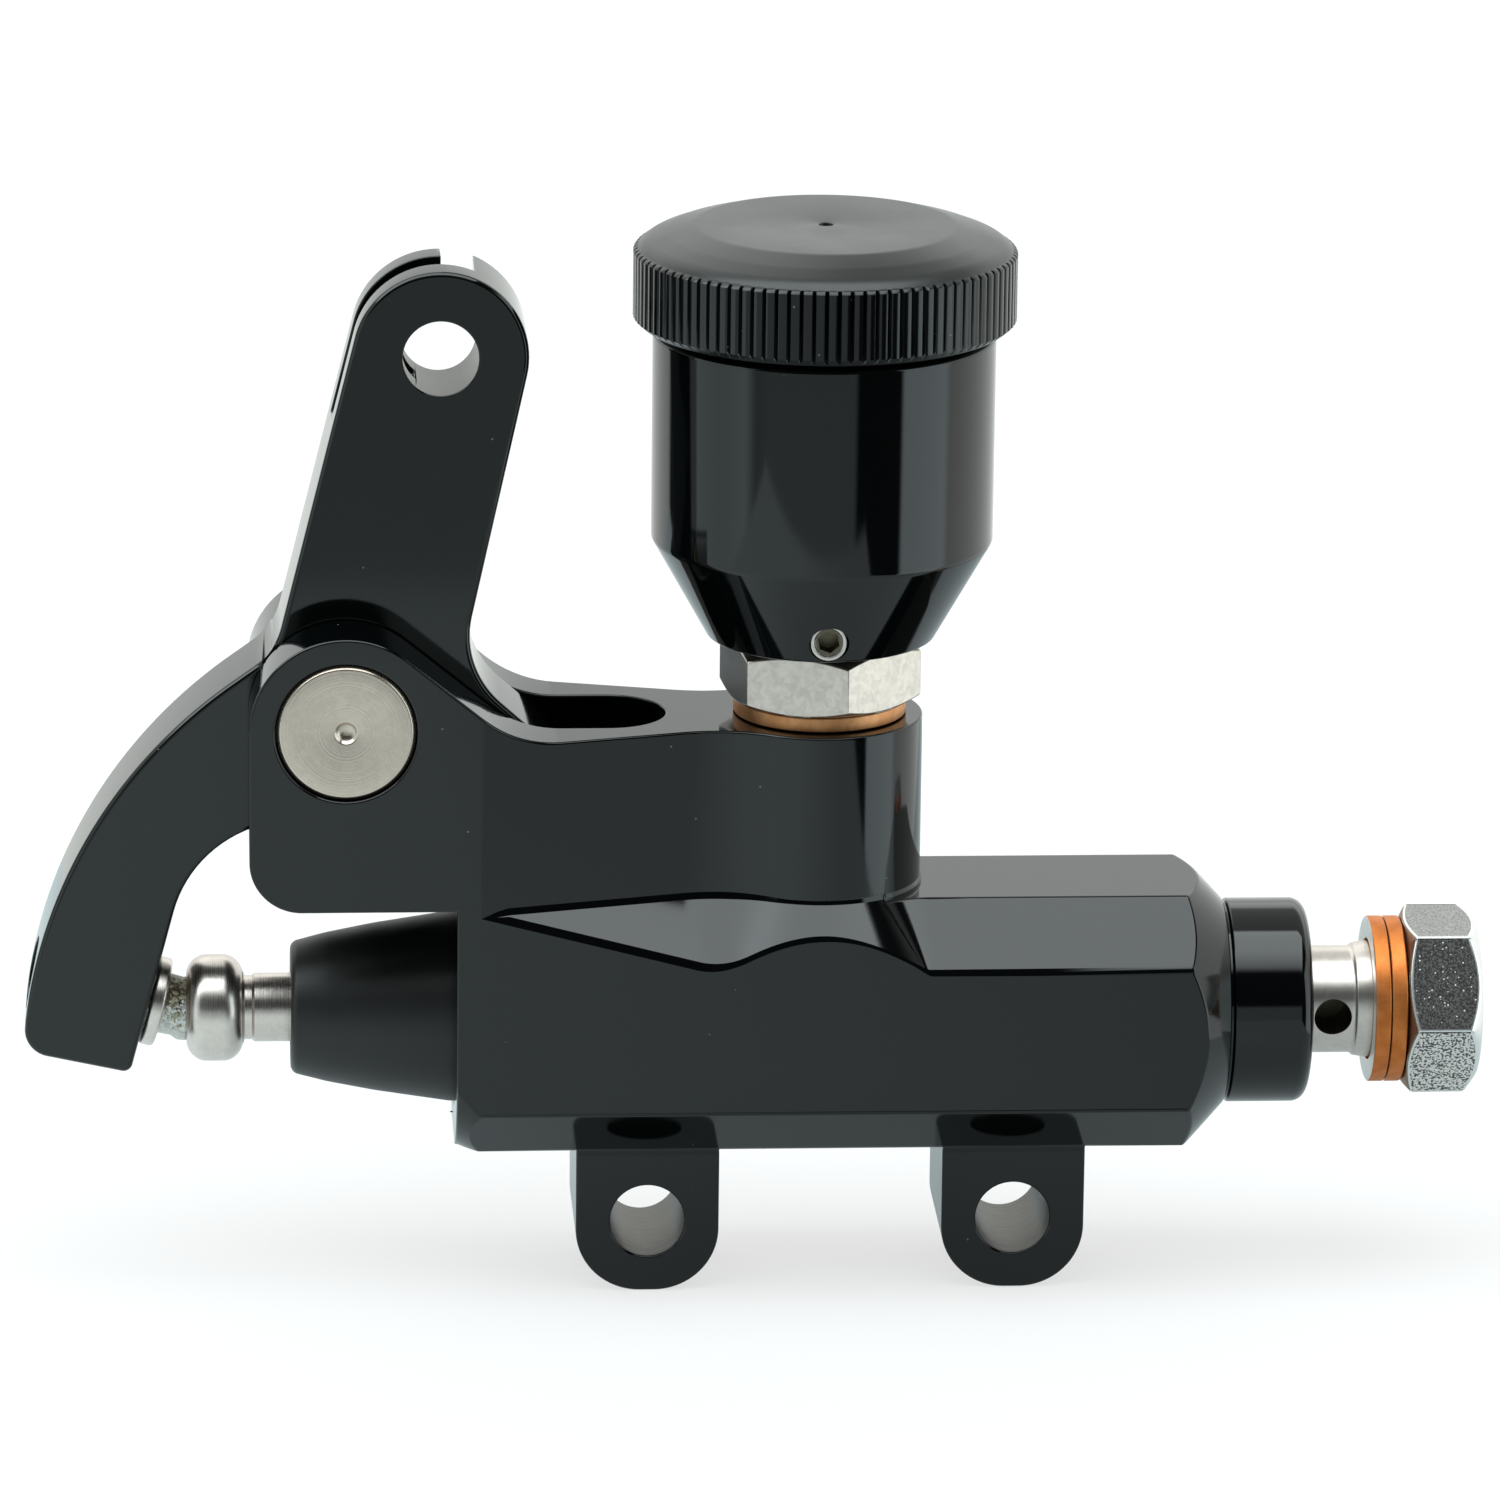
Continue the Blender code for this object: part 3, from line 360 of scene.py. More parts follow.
def in_space(axis, a, b, along):
    return Vector({"X": (along, a, b), "Y": (a, along, b), "Z": (a, b, along)}[axis]) * MM


def loft(name, rings, closed_loop=False):
    """Quads between rings of points; the first and last ring are capped unless it closes."""
    bm = bmesh.new()
    made = [[bm.verts.new(point) for point in ring] for ring in rings]
    count = len(made[0])
    pairs = list(zip(made, made[1:]))
    if closed_loop:
        pairs.append((made[-1], made[0]))
    for one, two in pairs:
        for i in range(count):
            j = (i + 1) % count
            bm.faces.new((one[i], one[j], two[j], two[i]))
    if not closed_loop:
        bm.faces.new(made[0])
        bm.faces.new(reversed(made[-1]))
    bmesh.ops.remove_doubles(bm, verts=bm.verts, dist=1e-7)
    return add_object(name, bm)


def prism(name, outline, axis, low, high):
    rings = [[in_space(axis, a, b, level) for a, b in outline] for level in (low, high)]
    return loft(name, rings)


def turned(name, profile, axis, centre, sides=SIDES):
    """A lathe shape from (radius, along) points; open profiles end on the axis."""
    bm = bmesh.new()
    rings = []
    for radius, along in profile:
        outline = circle(centre, radius, sides) if radius > 1e-9 else [centre]
        rings.append([bm.verts.new(in_space(axis, a, b, along)) for a, b in outline])
    pairs = list(zip(rings, rings[1:]))
    if len(rings[0]) > 1:
        pairs.append((rings[-1], rings[0]))
    for one, two in pairs:
        for i in range(sides):
            j = (i + 1) % sides
            if len(one) == 1:
                bm.faces.new((one[0], two[j], two[i]))
            elif len(two) == 1:
                bm.faces.new((one[i], one[j], two[0]))
            else:
                bm.faces.new((one[i], one[j], two[j], two[i]))
    return add_object(name, bm)


def cylinder(name, axis, centre, radius, low, high, sides=SIDES):
    return prism(name, circle(centre, radius, sides), axis, low, high)


def box(name, low, high):
    return prism(name, rectangle(low, high), "Z", low[2], high[2])


def hexagon(centre, across_flats, turn):
    return circle(centre, across_flats / 2 / cos(pi / 6), 6, turn)


def hexagon_trim(name, axis, centre, across_flats, low, high):
    """The turned shape that bevels a hexagon's corners; low and high are (place, inset, length)."""
    half = across_flats / 2
    outside = half / cos(pi / 6) + 0.1
    past = 0.5
    profile = []
    for (place, inset, length), way in ((low, 1), (high, -1)):
        slope = (outside - half + inset) / length
        start = place - way * past
        points = [(0, start), (half - inset - past * slope, start), (outside, place + way * length)]
        profile += points if way > 0 else points[::-1]
    return turned(name, profile, axis, centre, 240)


def soften_edges(obj, width_of, segments=3, limit=SHARP):
    """Round the convex edges by geometry; width_of gives each edge's width in mm.

    Edges that stay as they are are marked sharp when their faces turn by more than CREASE.
    """
    bm = bmesh.new()
    bm.from_mesh(obj.data)
    bmesh.ops.remove_doubles(bm, verts=bm.verts, dist=2e-6)
    bmesh.ops.dissolve_degenerate(bm, edges=bm.edges, dist=1e-6)
    bmesh.ops.dissolve_limit(
        bm, angle_limit=radians(0.2), verts=bm.verts, edges=bm.edges, use_dissolve_boundaries=False,
    )
    bm.normal_update()
    weight = bm.edges.layers.float.get("bevel_weight_edge")
    if weight is None:
        weight = bm.edges.layers.float.new("bevel_weight_edge")
    widest = 0.0
    for edge in bm.edges:
        edge[weight] = 0.0
        edge.smooth = True
        if len(edge.link_faces) != 2:
            continue
        angle = edge.calc_face_angle(0.0)
        width = width_of(edge) if angle > limit else 0.0
        if width > 0:
            edge[weight] = width
            widest = max(widest, width)
        elif angle > CREASE:
            edge.smooth = False
    for edge in bm.edges:
        edge[weight] /= max(widest, 1e-9)
    for face in bm.faces:
        face.smooth = True
    bm.to_mesh(obj.data)
    bm.free()
    modifier = obj.modifiers.new("edges", "BEVEL")
    modifier.width = widest * MM
    modifier.segments = segments
    modifier.limit_method = "WEIGHT"
    modifier.use_clamp_overlap = False
    modifier.miter_outer = "MITER_ARC"
    even = obj.modifiers.new("normals", "WEIGHTED_NORMAL")
    even.keep_sharp = True
    even.weight = 50
    bake(obj)


def convex(width):
    return lambda edge: width if edge.is_convex else 0.0


# ---------------------------------------------------------------- machined body

def line_circle_fillet(point, direction, radius, right):
    """Fillet in plan between a line and the tank boss: (x, half width, normal) from left to right."""
    direction = Vector(direction).normalized()
    normal = Vector((-direction.y, direction.x))
    boss = Vector((TANK_X, 0.0))
    offset = Vector(point) + normal * radius - boss
    reach = TANK_BOSS_R + radius
    along = offset.dot(direction)
    root = sqrt(along**2 - offset.length_squared + reach**2)
    centre = boss + offset + direction * (-along + (root if right else -root))
    on_line = -normal
    on_circle = (boss - centre).normalized()
    first = atan2(on_line.y, on_line.x)
    turn = (atan2(on_circle.y, on_circle.x) - first + pi) % (2 * pi) - pi
    points = arc(centre, radius, first, first + turn, radians(3))
    stations = [(x, w, (centre - Vector((x, w))) / radius) for x, w in points]
    return list(reversed(stations)) if right else stations


def wall_line():
    """The foot of the arm's wall in plan, from left to right, as (x, half width, normal).

    A straight taper, a fillet, the tank boss, a fillet, and the edge of the block's flat top.
    """
    slope = Vector((cos(TAPER_ANGLE), -sin(TAPER_ANGLE)))
    normal = Vector((sin(TAPER_ANGLE), cos(TAPER_ANGLE)))
    start = Vector((TAPER_START_X, BLOCK_HALF))
    taper = [(*(start + slope * run), normal) for run in (0, 0.6, 1.4, 2.4)]
    first = line_circle_fillet(start, slope, TAPER_FILLET, False)
    second = line_circle_fillet((0.0, STRIP_HALF), (1.0, 0.0), STRIP_FILLET, True)
    begin = atan2(first[-1][1], first[-1][0] - TANK_X)
    end = atan2(second[0][1], second[0][0] - TANK_X)
    boss = [
        (x, w, Vector((x - TANK_X, w)) / TANK_BOSS_R)
        for x, w in arc((TANK_X, 0.0), TANK_BOSS_R, begin, end, radians(3))
    ]
    return taper + first + boss[1:-1] + second + [(CONE_END_X + THROUGH, STRIP_HALF, Vector((0, 1)))]


def between(x, points):
    """A value read from a polyline of (x, value) points."""
    for (x0, one), (x1, two) in zip(points, points[1:]):
        if x < x1:
            return one + (two - one) * max(0.0, (x - x0) / (x1 - x0))
    return points[-1][1]


def side_cutter(side):
    """Everything outside the arm's wall, its root, the chamfer and the chamfer's edge break."""
    high = PIVOT_Z + EAR_R + THROUGH
    half_turn = sin(pi / 4)
    steep = tan(pi / 8)
    rings = []
    for x, w, normal in wall_line():
        reach = (BLOCK_HALF - w) / normal.y
        low = CHAMFER_TOP - reach
        root = between(x, ROOT_FLAT)
        edge = between(x + normal.x * reach, EDGE_FLAT)
        if reach > half_turn * (root + edge):
            upper = (0, CHAMFER_TOP + root)
            inner = (half_turn * root, CHAMFER_TOP - half_turn * root)
            outer = (reach - half_turn * edge / normal.y, low + half_turn * edge / normal.y)
        else:
            upper = (0, CHAMFER_TOP + 2 * half_turn * reach - edge)
            inner = outer = (reach / 2, (upper[1] + low - edge) / 2)
        past = reach + OUTSIDE / normal.y
        section = [
            (0, high), upper, inner, outer, (reach, low - edge),
            (past, low - edge - OUTSIDE / steep), (past, high),
        ]
        rings.append([
            Vector((x + normal.x * run, side * (w + normal.y * run), z)) * MM for run, z in section
        ])
    return loft("side_cutter", rings)


def side_outline():
    """The body from the side: block, ears and arm up to the middle of the tank boss."""
    foot = (PIVOT_X + EAR_R * sin(EAR_LEAN), PIVOT_Z + EAR_R * cos(EAR_LEAN))
    bend_x = foot[0] + (foot[1] - TANK_BOSS_TOP) / tan(EAR_LEAN)
    left = PIVOT_X - EAR_R
    # The chamfer runs up to the boss until the fillet at its right leaves the boss
    offset = STRIP_HALF + STRIP_FILLET
    reach = TANK_BOSS_R + STRIP_FILLET
    step_x = TANK_X + TANK_BOSS_R * sqrt(reach**2 - offset**2) / reach
    step_z = CHAMFER_TOP + 2 * ROOT_BOSS
    points = [(BLOCK_LEFT, 0), (CONE_END_X, 0), (CONE_END_X, BLOCK_TOP)]
    points += [(step_x, BLOCK_TOP), (step_x, step_z), (TANK_X, step_z)]
    bend = [(TANK_X, TANK_BOSS_TOP, 0), (bend_x, TANK_BOSS_TOP, ARM_BEND_R), (*foot, 0)]
    points += rounded(bend, closed=False)[:-1]
    points += arc((PIVOT_X, PIVOT_Z), EAR_R, pi / 2 - EAR_LEAN, pi)
    corner = (left + EAR_CORNER_R, EAR_UNDERSIDE + EAR_CORNER_R)
    points += arc(corner, EAR_CORNER_R, pi, 3 * pi / 2)
    points.append((BLOCK_LEFT, EAR_UNDERSIDE))
    return points


def tank_boss():
    """The round boss under the union, flared where it meets the chamfer."""
    flare = ROOT_BOSS * sin(pi / 4)
    foot = TANK_BOSS_R + flare
    bottom = BLOCK_TOP - 5
    profile = [
        (0, bottom), (foot, bottom), (foot, CHAMFER_TOP - flare),
        (TANK_BOSS_R, CHAMFER_TOP + ROOT_BOSS), (TANK_BOSS_R, TANK_BOSS_TOP), (0, TANK_BOSS_TOP),
    ]
    return turned("tank_boss", profile, "Z", (TANK_X, 0), 120)


def bottom_cutter(side):
    inner = BLOCK_HALF - BLOCK_CHAMFER
    outer = BLOCK_HALF + THROUGH
    outline = [
        (side * inner, 0), (side * outer, BLOCK_CHAMFER + THROUGH), (side * outer, -THROUGH),
        (side * (inner - THROUGH), -THROUGH),
    ]
    return prism("bottom_cutter", outline, "X", BLOCK_LEFT - THROUGH, CONE_END_X + THROUGH)


def right_cone_cutter():
    far = BLOCK_HALF + BLOCK_TOP
    end_r = CONE_R - (CONE_END_X - CONE_X) * CONE_SLOPE
    profile = [
        (CONE_R + THROUGH * CONE_SLOPE, CONE_X - THROUGH), (end_r, CONE_END_X),
        (end_r, CONE_END_X + THROUGH), (far, CONE_END_X + THROUGH), (far, CONE_X - THROUGH),
    ]
    return turned("right_cone", profile, "X", (0, BORE_Z))


def left_cone_cutter():
    """A shallow turned chamfer round the lower half of the block's left end."""
    far = BLOCK_HALF + BLOCK_TOP
    start = BLOCK_LEFT - THROUGH
    end = BLOCK_LEFT + 6
    profile = [
        (LEFT_CONE_R + (x - BLOCK_LEFT) * LEFT_CONE_SLOPE, x) for x in (start, end)
    ] + [(far, end), (far, start)]
    shape = turned("left_cone", profile, "X", (0, BORE_Z))
    past = far + 9
    keep = box("lower_half", (BLOCK_LEFT - 9, -past, BORE_Z - past), (0, past, BORE_Z))
    combine(shape, keep, "INTERSECT")
    return shape


def lug(x):
    left = x - LUG_HALF_WIDTH
    right = x + LUG_HALF_WIDTH
    corners = [
        (left, LUG_ROOT, 0), (left, LUG_BOTTOM, LUG_CORNER_R), (right, LUG_BOTTOM, LUG_CORNER_R),
        (right, LUG_ROOT, 0),
    ]
    half = BLOCK_HALF - BLOCK_CHAMFER
    return prism("lug", rounded(corners), "Y", -half, half)


def outlet_boss():
    """The round boss at the block's right end, with a fine groove at its root."""
    groove = 0.35
    left = CONE_END_X - 3
    inner = BOSS_R - groove
    corners = [
        (0, left, 0), (inner, left, 0), (inner, CONE_END_X + groove * 0.6, 0.15),
        (BOSS_R, CONE_END_X + groove, 0.15), (BOSS_R, OUTLET_X, BOSS_EDGE_R), (0, OUTLET_X, 0),
    ]
    return turned("outlet_boss", rounded(corners, radians(9), closed=False), "X", (0, BORE_Z))


def bore_cutter():
    """From left to right: boot's seat, circlip's groove, bore, narrow passage, outlet's thread."""
    groove_r, groove_left, groove_right = CIRCLIP_GROOVE
    left = BLOCK_LEFT - THROUGH
    right = OUTLET_X + THROUGH
    mouth_r = BOOT_SEAT_R + MOUTH_BREAK
    outlet_r = OUTLET_BORE_R + OUTLET_BREAK
    profile = [
        (0, left), (mouth_r, left), (mouth_r, BLOCK_LEFT), (BOOT_SEAT_R, BLOCK_LEFT + MOUTH_BREAK),
        (BOOT_SEAT_R, BOOT_SEAT_X), (THROAT_R, BOOT_SEAT_X), (THROAT_R, groove_left),
        (groove_r, groove_left), (groove_r, groove_right), (BORE_R, groove_right),
        (BORE_R, BORE_END_X), (PASSAGE_R, BORE_END_X), (PASSAGE_R, OUTLET_BORE_X),
        (OUTLET_BORE_R, OUTLET_BORE_X), (OUTLET_BORE_R, OUTLET_X - OUTLET_BREAK),
        (outlet_r, OUTLET_X), (outlet_r, right), (0, right),
    ]
    return turned("bore", profile, "X", (0, BORE_Z), 96)


def slot_cutters():
    left = PIVOT_X - EAR_R - THROUGH
    pocket = [(left, EAR_SLOT_HALF), (left, -EAR_SLOT_HALF)]
    pocket += arc((SLOT_END_X - EAR_SLOT_HALF, 0), EAR_SLOT_HALF, -pi / 2, pi / 2)
    upper = prism("slot", pocket, "Z", SLOT_FLOOR, PIVOT_Z + EAR_R + THROUGH)
    low = (left, -EAR_SLOT_HALF, EAR_UNDERSIDE - 0.4)
    lower = box("slot_below", low, (SLOT_FLOOR_LEFT, EAR_SLOT_HALF, SLOT_FLOOR + 1))
    return upper, lower


def body_edge_width(edge):
    """Edge breaks of the machined body, in mm."""
    a, b = (vert.co / MM for vert in edge.verts)
    centre = (a + b) / 2
    from_bore = hypot(centre.y, centre.z - BORE_Z)
    if not edge.is_convex:
        at_lug = abs(abs(centre.x) - LUG_X) < LUG_HALF_WIDTH + 0.5 and centre.z < BLOCK_CHAMFER
        return LUG_FILLET if at_lug and abs(centre.y) > 1 else 0.0
    in_bore = abs(centre.x) < BORE_LIMIT and from_bore < BOOT_SEAT_R + 0.15
    in_well = hypot(centre.x - TANK_X, centre.y) < WELL_R + 0.3 and centre.z < TANK_BOSS_TOP - 0.5
    in_outlet = centre.x > OUTLET_X - 0.8 and from_bore < BOSS_R - 0.95
    return 0.0 if in_bore or in_well or in_outlet else EDGE_BREAK


def machined_body():
    shape = prism("machined_body", side_outline(), "Y", -BLOCK_HALF, BLOCK_HALF)
    cut(shape, side_cutter(-1), side_cutter(1), bottom_cutter(-1), bottom_cutter(1))
    join(shape, tank_boss())
    cut(shape, right_cone_cutter(), left_cone_cutter())
    join(shape, lug(-LUG_X), lug(LUG_X), outlet_boss())
    cut(shape, *slot_cutters(), bore_cutter())
    above = TANK_BOSS_TOP + THROUGH
    cut(shape, cylinder("well", "Z", (TANK_X, 0), WELL_R, WELL_BOTTOM, above, 64))
    far = BLOCK_HALF + THROUGH
    for x in (-LUG_X, LUG_X):
        cut(shape, cylinder("lug_hole", "Y", (x, LUG_HOLE_Z), LUG_HOLE_R, -far, far, 96))
    cut(shape, cylinder("pin_hole", "Y", (PIVOT_X, PIVOT_Z), PIN_R + PIN_PLAY, -far, far, 120))
    below = EAR_UNDERSIDE - 1
    cut(shape, cylinder("lock_hole", "Z", (PIVOT_X, LOCK_HOLE_Y), LOCK_HOLE_R, below, PIVOT_Z, 32))
    soften_edges(shape, body_edge_width)
    return shape


# ---------------------------------------------------------------- pivot and lever

def pin_face():
    """The pin's end in section: a centre dimple, a shallow dish and an edge break."""
    return rounded([
        (0.0, 0.75, 0), (0.75, 0.3, 0.1), (1.0, 0.05, 0.2), (4.6, 0.0, 0.3), (PIN_R - 0.35, 0.0, 0.2),
        (PIN_R, 0.35, 0.15), (PIN_R, 2.0, 0),
    ], radians(15), closed=False)


def pivot_pin():
    half = box_mm("pivot_pin")[1][Y]
    front = [(r, -half + depth) for r, depth in pin_face()]
    rear = [(r, half - depth) for r, depth in reversed(pin_face())]
    return turned("pivot_pin_fine", front + rear, "Y", (PIVOT_X, PIVOT_Z), 120)


def lever_outline():
    """Head, straight shank, heel in the slot and curved foot."""
    lean = LEVER_LEAN
    right_top = (HEAD_X + HEAD_R * cos(lean), HEAD_Z - HEAD_R * sin(lean))
    points = arc((HEAD_X, HEAD_Z), HEAD_R, -lean, pi - lean)
    shank = rounded([(*points[-1], 0), SHANK_BEND, (*FOOT_TOP, 0)])
    points += shank[1:-1]
    start, end = (atan2(z - FOOT_ARC[1], x - FOOT_ARC[0]) for x, z in (FOOT_TOP, FOOT_TIP))
    points += arc(FOOT_ARC, FOOT_ARC_R, start, end, radians(1.5))
    lower = rounded([(*points[-1], 0), *LEVER_UNDERSIDE, (*right_top, 0)])
    return points + lower[1:-1]


def lever_edge_width(edge):
    """Edge breaks of the lever, in mm: widest along its sides, fine round the cable's slot."""
    a, b = (vert.co / MM for vert in edge.verts)
    centre = (a + b) / 2
    if not edge.is_convex:
        return 0.0
    from_nipple = hypot(centre.x - HEAD_X, centre.z - HEAD_Z)
    in_head = centre.z > HEAD_Z - NIPPLE_R - 0.1 and from_nipple < HEAD_R - 0.05
    if in_head or abs(centre.y) < CABLE_SLOT_HALF + 0.05:
        return 0.15
    if hypot(centre.x - PIVOT_X, centre.z - PIVOT_Z) < BUSH_R + 1:
        return 0.0
    return 0.5 if abs(abs(centre.y) - LEVER_HALF) < 0.01 else 0.12


def lever():
    shape = prism("lever_fine", lever_outline(), "Y", -LEVER_HALF, LEVER_HALF)
    far = LEVER_HALF + THROUGH
    above = HEAD_Z + 12
    region = [*CABLE_SLOT_FLOOR, (CABLE_SLOT_FLOOR[1][0], above), (CABLE_SLOT_FLOOR[0][0], above)]
    notch_left, notch_right = NOTCH
    cut(
        shape,
        cylinder("nipple_hole", "Y", (HEAD_X, HEAD_Z), NIPPLE_R, -far, far, 96),
        cylinder("bush_hole", "Y", (PIVOT_X, PIVOT_Z), BUSH_R + 0.3, -far, far, 96),
        prism("cable_slot", region, "Y", -CABLE_SLOT_HALF, CABLE_SLOT_HALF),
        box("notch", (notch_left, -CABLE_SLOT_HALF, HEAD_Z + 1), (notch_right, far, above)),
        adjuster_turned("adjuster_hole", [(ADJUSTER_HOLE_R, -16), (ADJUSTER_HOLE_R, 4)], 64),
    )
    soften_edges(shape, lever_edge_width)
    return shape


# ---------------------------------------------------------------- adjuster and pushrod

def adjuster_place():
    tilt = Matrix.Rotation(ADJUSTER_TILT, 4, "Y")
    return Matrix.Translation(Vector((CONTACT_X, 0, CONTACT_Z)) * MM) @ tilt


def adjuster_turned(name, wall, sides=96):
    """A solid turned about the adjuster's tilted axis, from (radius, along) points."""
    profile = list(wall)
    if profile[0][0] > 0:
        profile.insert(0, (0, profile[0][1]))
    if profile[-1][0] > 0:
        profile.append((0, profile[-1][1]))
    shape = turned(name, profile, "X", (0, 0), sides)
    shape.data.transform(adjuster_place())
    return shape


def adjuster_screw():
    """A grub screw with a thread, a waist and a ball nose; along is counted from the ball."""
    nose = arc((0, 0), NOSE_R, 0, pi / 2, radians(6))
    nose[-1] = (0, NOSE_R)
    wall = [(2.7, ADJUSTER_END)] + ridges(ADJUSTER_THREAD, ADJUSTER_END + 0.3, -4.0)
    wall += [(2.9, -3.2), (2.9, -2.1), (2.66, -1.7), (2.6, -0.6)]
    shape = adjuster_turned("adjuster_screw_fine", wall + nose)
    socket = prism("socket", hexagon((0, 0), 3.0, 0), "X", ADJUSTER_END - 2.8, ADJUSTER_END + 2.7)
    socket.data.transform(adjuster_place())
    cut(shape, socket)
    return shape


def adjuster_lock_nut():
    inner, outer, left, right = LOCK_NUT
    profile = rounded([
        (inner, left, 0), (outer, left, 0.3), (outer, right, 0.3), (inner, right, 0.1),
    ], radians(15))
    shape = turned("adjuster_lock_nut_fine", profile, "X", (0, 0), 120)
    shape.data.transform(adjuster_place())
    return shape


def pushrod():
    """Round-edged bead with a cup for the adjuster, plain rod, and a ball for the piston."""
    bead_right = BEAD_X + BEAD_HALF_WIDTH
    high, wide = BEAD_ROUND
    crown = []
    for i in range(43):
        a = radians(-78 + 4 * i)
        middle_x = BEAD_X + (BEAD_HALF_WIDTH - wide) * (1 if a > 0 else -1)
        crown.append((BEAD_R - high * (1 - cos(a)), middle_x + wide * sin(a)))
    mouth_r, mouth_x = crown[0]
    cup_r = hypot(mouth_r, mouth_x - CONTACT_X)
    opening = atan2(mouth_r, mouth_x - CONTACT_X)
    angles = [opening * i / 12 for i in range(12)]
    cup = [(cup_r * sin(a), CONTACT_X + cup_r * cos(a)) for a in angles]
    start = asin(ROD_R / BALL_R)
    angles = [start + (pi - start) * i / 24 for i in range(25)]
    ball = [(BALL_R * sin(a), BALL_X - BALL_R * cos(a)) for a in angles]
    ball[-1] = (0, BALL_X + BALL_R)
    groove = [
        (ROD_R + 0.18, bead_right - 0.02), (ROD_R - 0.2, bead_right + 0.12),
        (ROD_R - 0.2, bead_right + 0.72), (ROD_R, bead_right + 0.95),
    ]
    return turned("pushrod_fine", cup + crown + groove + ball, "X", (0, BORE_Z), 128)


def dust_boot():
    """A bullet-shaped rubber cover pressed into the bore's mouth.

    The hole in its lip is drawn out downwards, to leave room for the rod when it tilts.
    """
    lip_r = ROD_R + 0.15
    outer = rounded([
        (8.3, BOOT_RIGHT, 0), (8.3, -33.2, 3.0), (7.3, -39.8, 20.0), (6.5, -43.9, 8.0),
        (5.7, BOOT_LEFT, 0.8), (lip_r, BOOT_LEFT, 0.25), (lip_r, -45.6, 0.2), (5.2, -45.0, 0.5),
        (5.9, -40.0, 5.0), (6.6, -35.0, 2.0), (6.9, BOOT_RIGHT, 0),
    ], radians(6))
    shape = turned("dust_boot_fine", outer, "X", (0, BORE_Z))
    axis_z = BORE_Z * MM
    for vert in shape.data.vertices:
        if vert.co.z < axis_z and hypot(vert.co.y, vert.co.z - axis_z) < (ROD_R + 0.5) * MM:
            vert.co.z -= ROD_DROP * MM
    return shape


def return_spring():
    """A round-wire coil between the spring seat and the bore's end."""
    low, high = box_mm("return_spring")
    coil_r = (high.y - low.y) / 2 - SPRING_WIRE_R
    left = low.x + SPRING_WIRE_R
    right = high.x - SPRING_WIRE_R
    per_turn = 36
    count = SPRING_TURNS * per_turn
    rings = []
    for i in range(count + 1):
        turn = 2 * pi * i / per_turn
        radial = Vector((0, cos(turn), sin(turn)))
        centre = Vector((left + (right - left) * i / count, 0, BORE_Z)) + radial * coil_r
        rings.append([
            (centre + (radial * a + Vector((b, 0, 0)))) * MM for a, b in circle((0, 0), SPRING_WIRE_R, 12)
        ])
    return loft("return_spring_fine", rings)


# ---------------------------------------------------------------- reservoir

def union_body():
    """A hexagon on a drilled spigot that reaches down into the body and up into the reservoir."""
    centre = (TANK_X, 0)
    outline = hexagon(centre, UNION_ACROSS_FLATS, UNION_TURN - pi / 2)
    shape = prism("hex_union_fine", outline, "Z", UNION_BOTTOM, UNION_TOP)
    ends = (UNION_BOTTOM, 0.15, 0.75), (UNION_TOP, 0.15, 0.75)
    combine(shape, hexagon_trim("trim", "Z", centre, UNION_ACROSS_FLATS, *ends), "INTERSECT")
    spigot = [(0, 27.4), (4.5, 27.4), (4.9, 27.9), (4.9, 50.8), (4.5, 51.2), (0, 51.2)]
    join(shape, turned("spigot", spigot, "Z", centre, 96))
    cut(shape, cylinder("union_bore", "Z", centre, 2.5, 26, 52, 48))
    groove = rectangle((4.2, 49.0), (6.0, 50.4))
    cut(shape, turned("union_groove", groove, "Z", centre, 96))
    soften_edges(shape, convex(0.13), segments=2, limit=radians(24))
    return shape


def ring_profile(inner, outer, low, high, edge):
    corners = [(inner, low, edge), (outer, low, edge), (outer, high, edge), (inner, high, edge)]
    return rounded(corners, radians(18))


def union_washer():
    low, high = box_mm("union_copper_washer")
    profile = ring_profile(5.2, 7.5, low.z, high.z, 0.12)
    return turned("union_copper_washer_fine", profile, "Z", (TANK_X, 0))


def reservoir():
    """A turned cup: cone, straight wall and a threaded neck under the cap."""
    neck_r = TANK_THREAD[0]
    thread = [(*point, 0) for point in ridges(TANK_THREAD, TANK_WALL_TOP + 1.45, 76.0)]
    outside = [
        (TANK_HOLE_R, TANK_BOTTOM, 0), (TANK_BOTTOM_R - 0.15, TANK_BOTTOM, 0.45),
        (TANK_R, TANK_SHOULDER, 1.1), (TANK_R, TANK_WALL_TOP, 0.35),
        (14.1, TANK_WALL_TOP + 0.35, 0.1), (neck_r, TANK_WALL_TOP + 0.45, 0.1), *thread,
        (neck_r, TANK_RIM - 0.3, 0), (neck_r - 0.25, TANK_RIM, 0),
    ]
    inside = [
        (12.2, TANK_RIM, 0.1), (12.2, 73.0, 0), (TANK_INNER_R, 71.5, 0), (TANK_INNER_R, 55.5, 1.0),
        (7.0, 52.8, 0.5), (3.0, 52.2, 0), (3.0, 51.5, 0), (TANK_HOLE_R, 51.5, 0),
    ]
    profile = rounded(outside + inside, radians(5))
    shape = turned("reservoir_fine", profile, "Z", (TANK_X, 0), 240)
    hole_r = SET_SCREW_R + 0.12
    cut(shape, cylinder("screw_hole", "Y", (TANK_X, SET_SCREW_Z), hole_r, -16, -5, 64))
    return shape


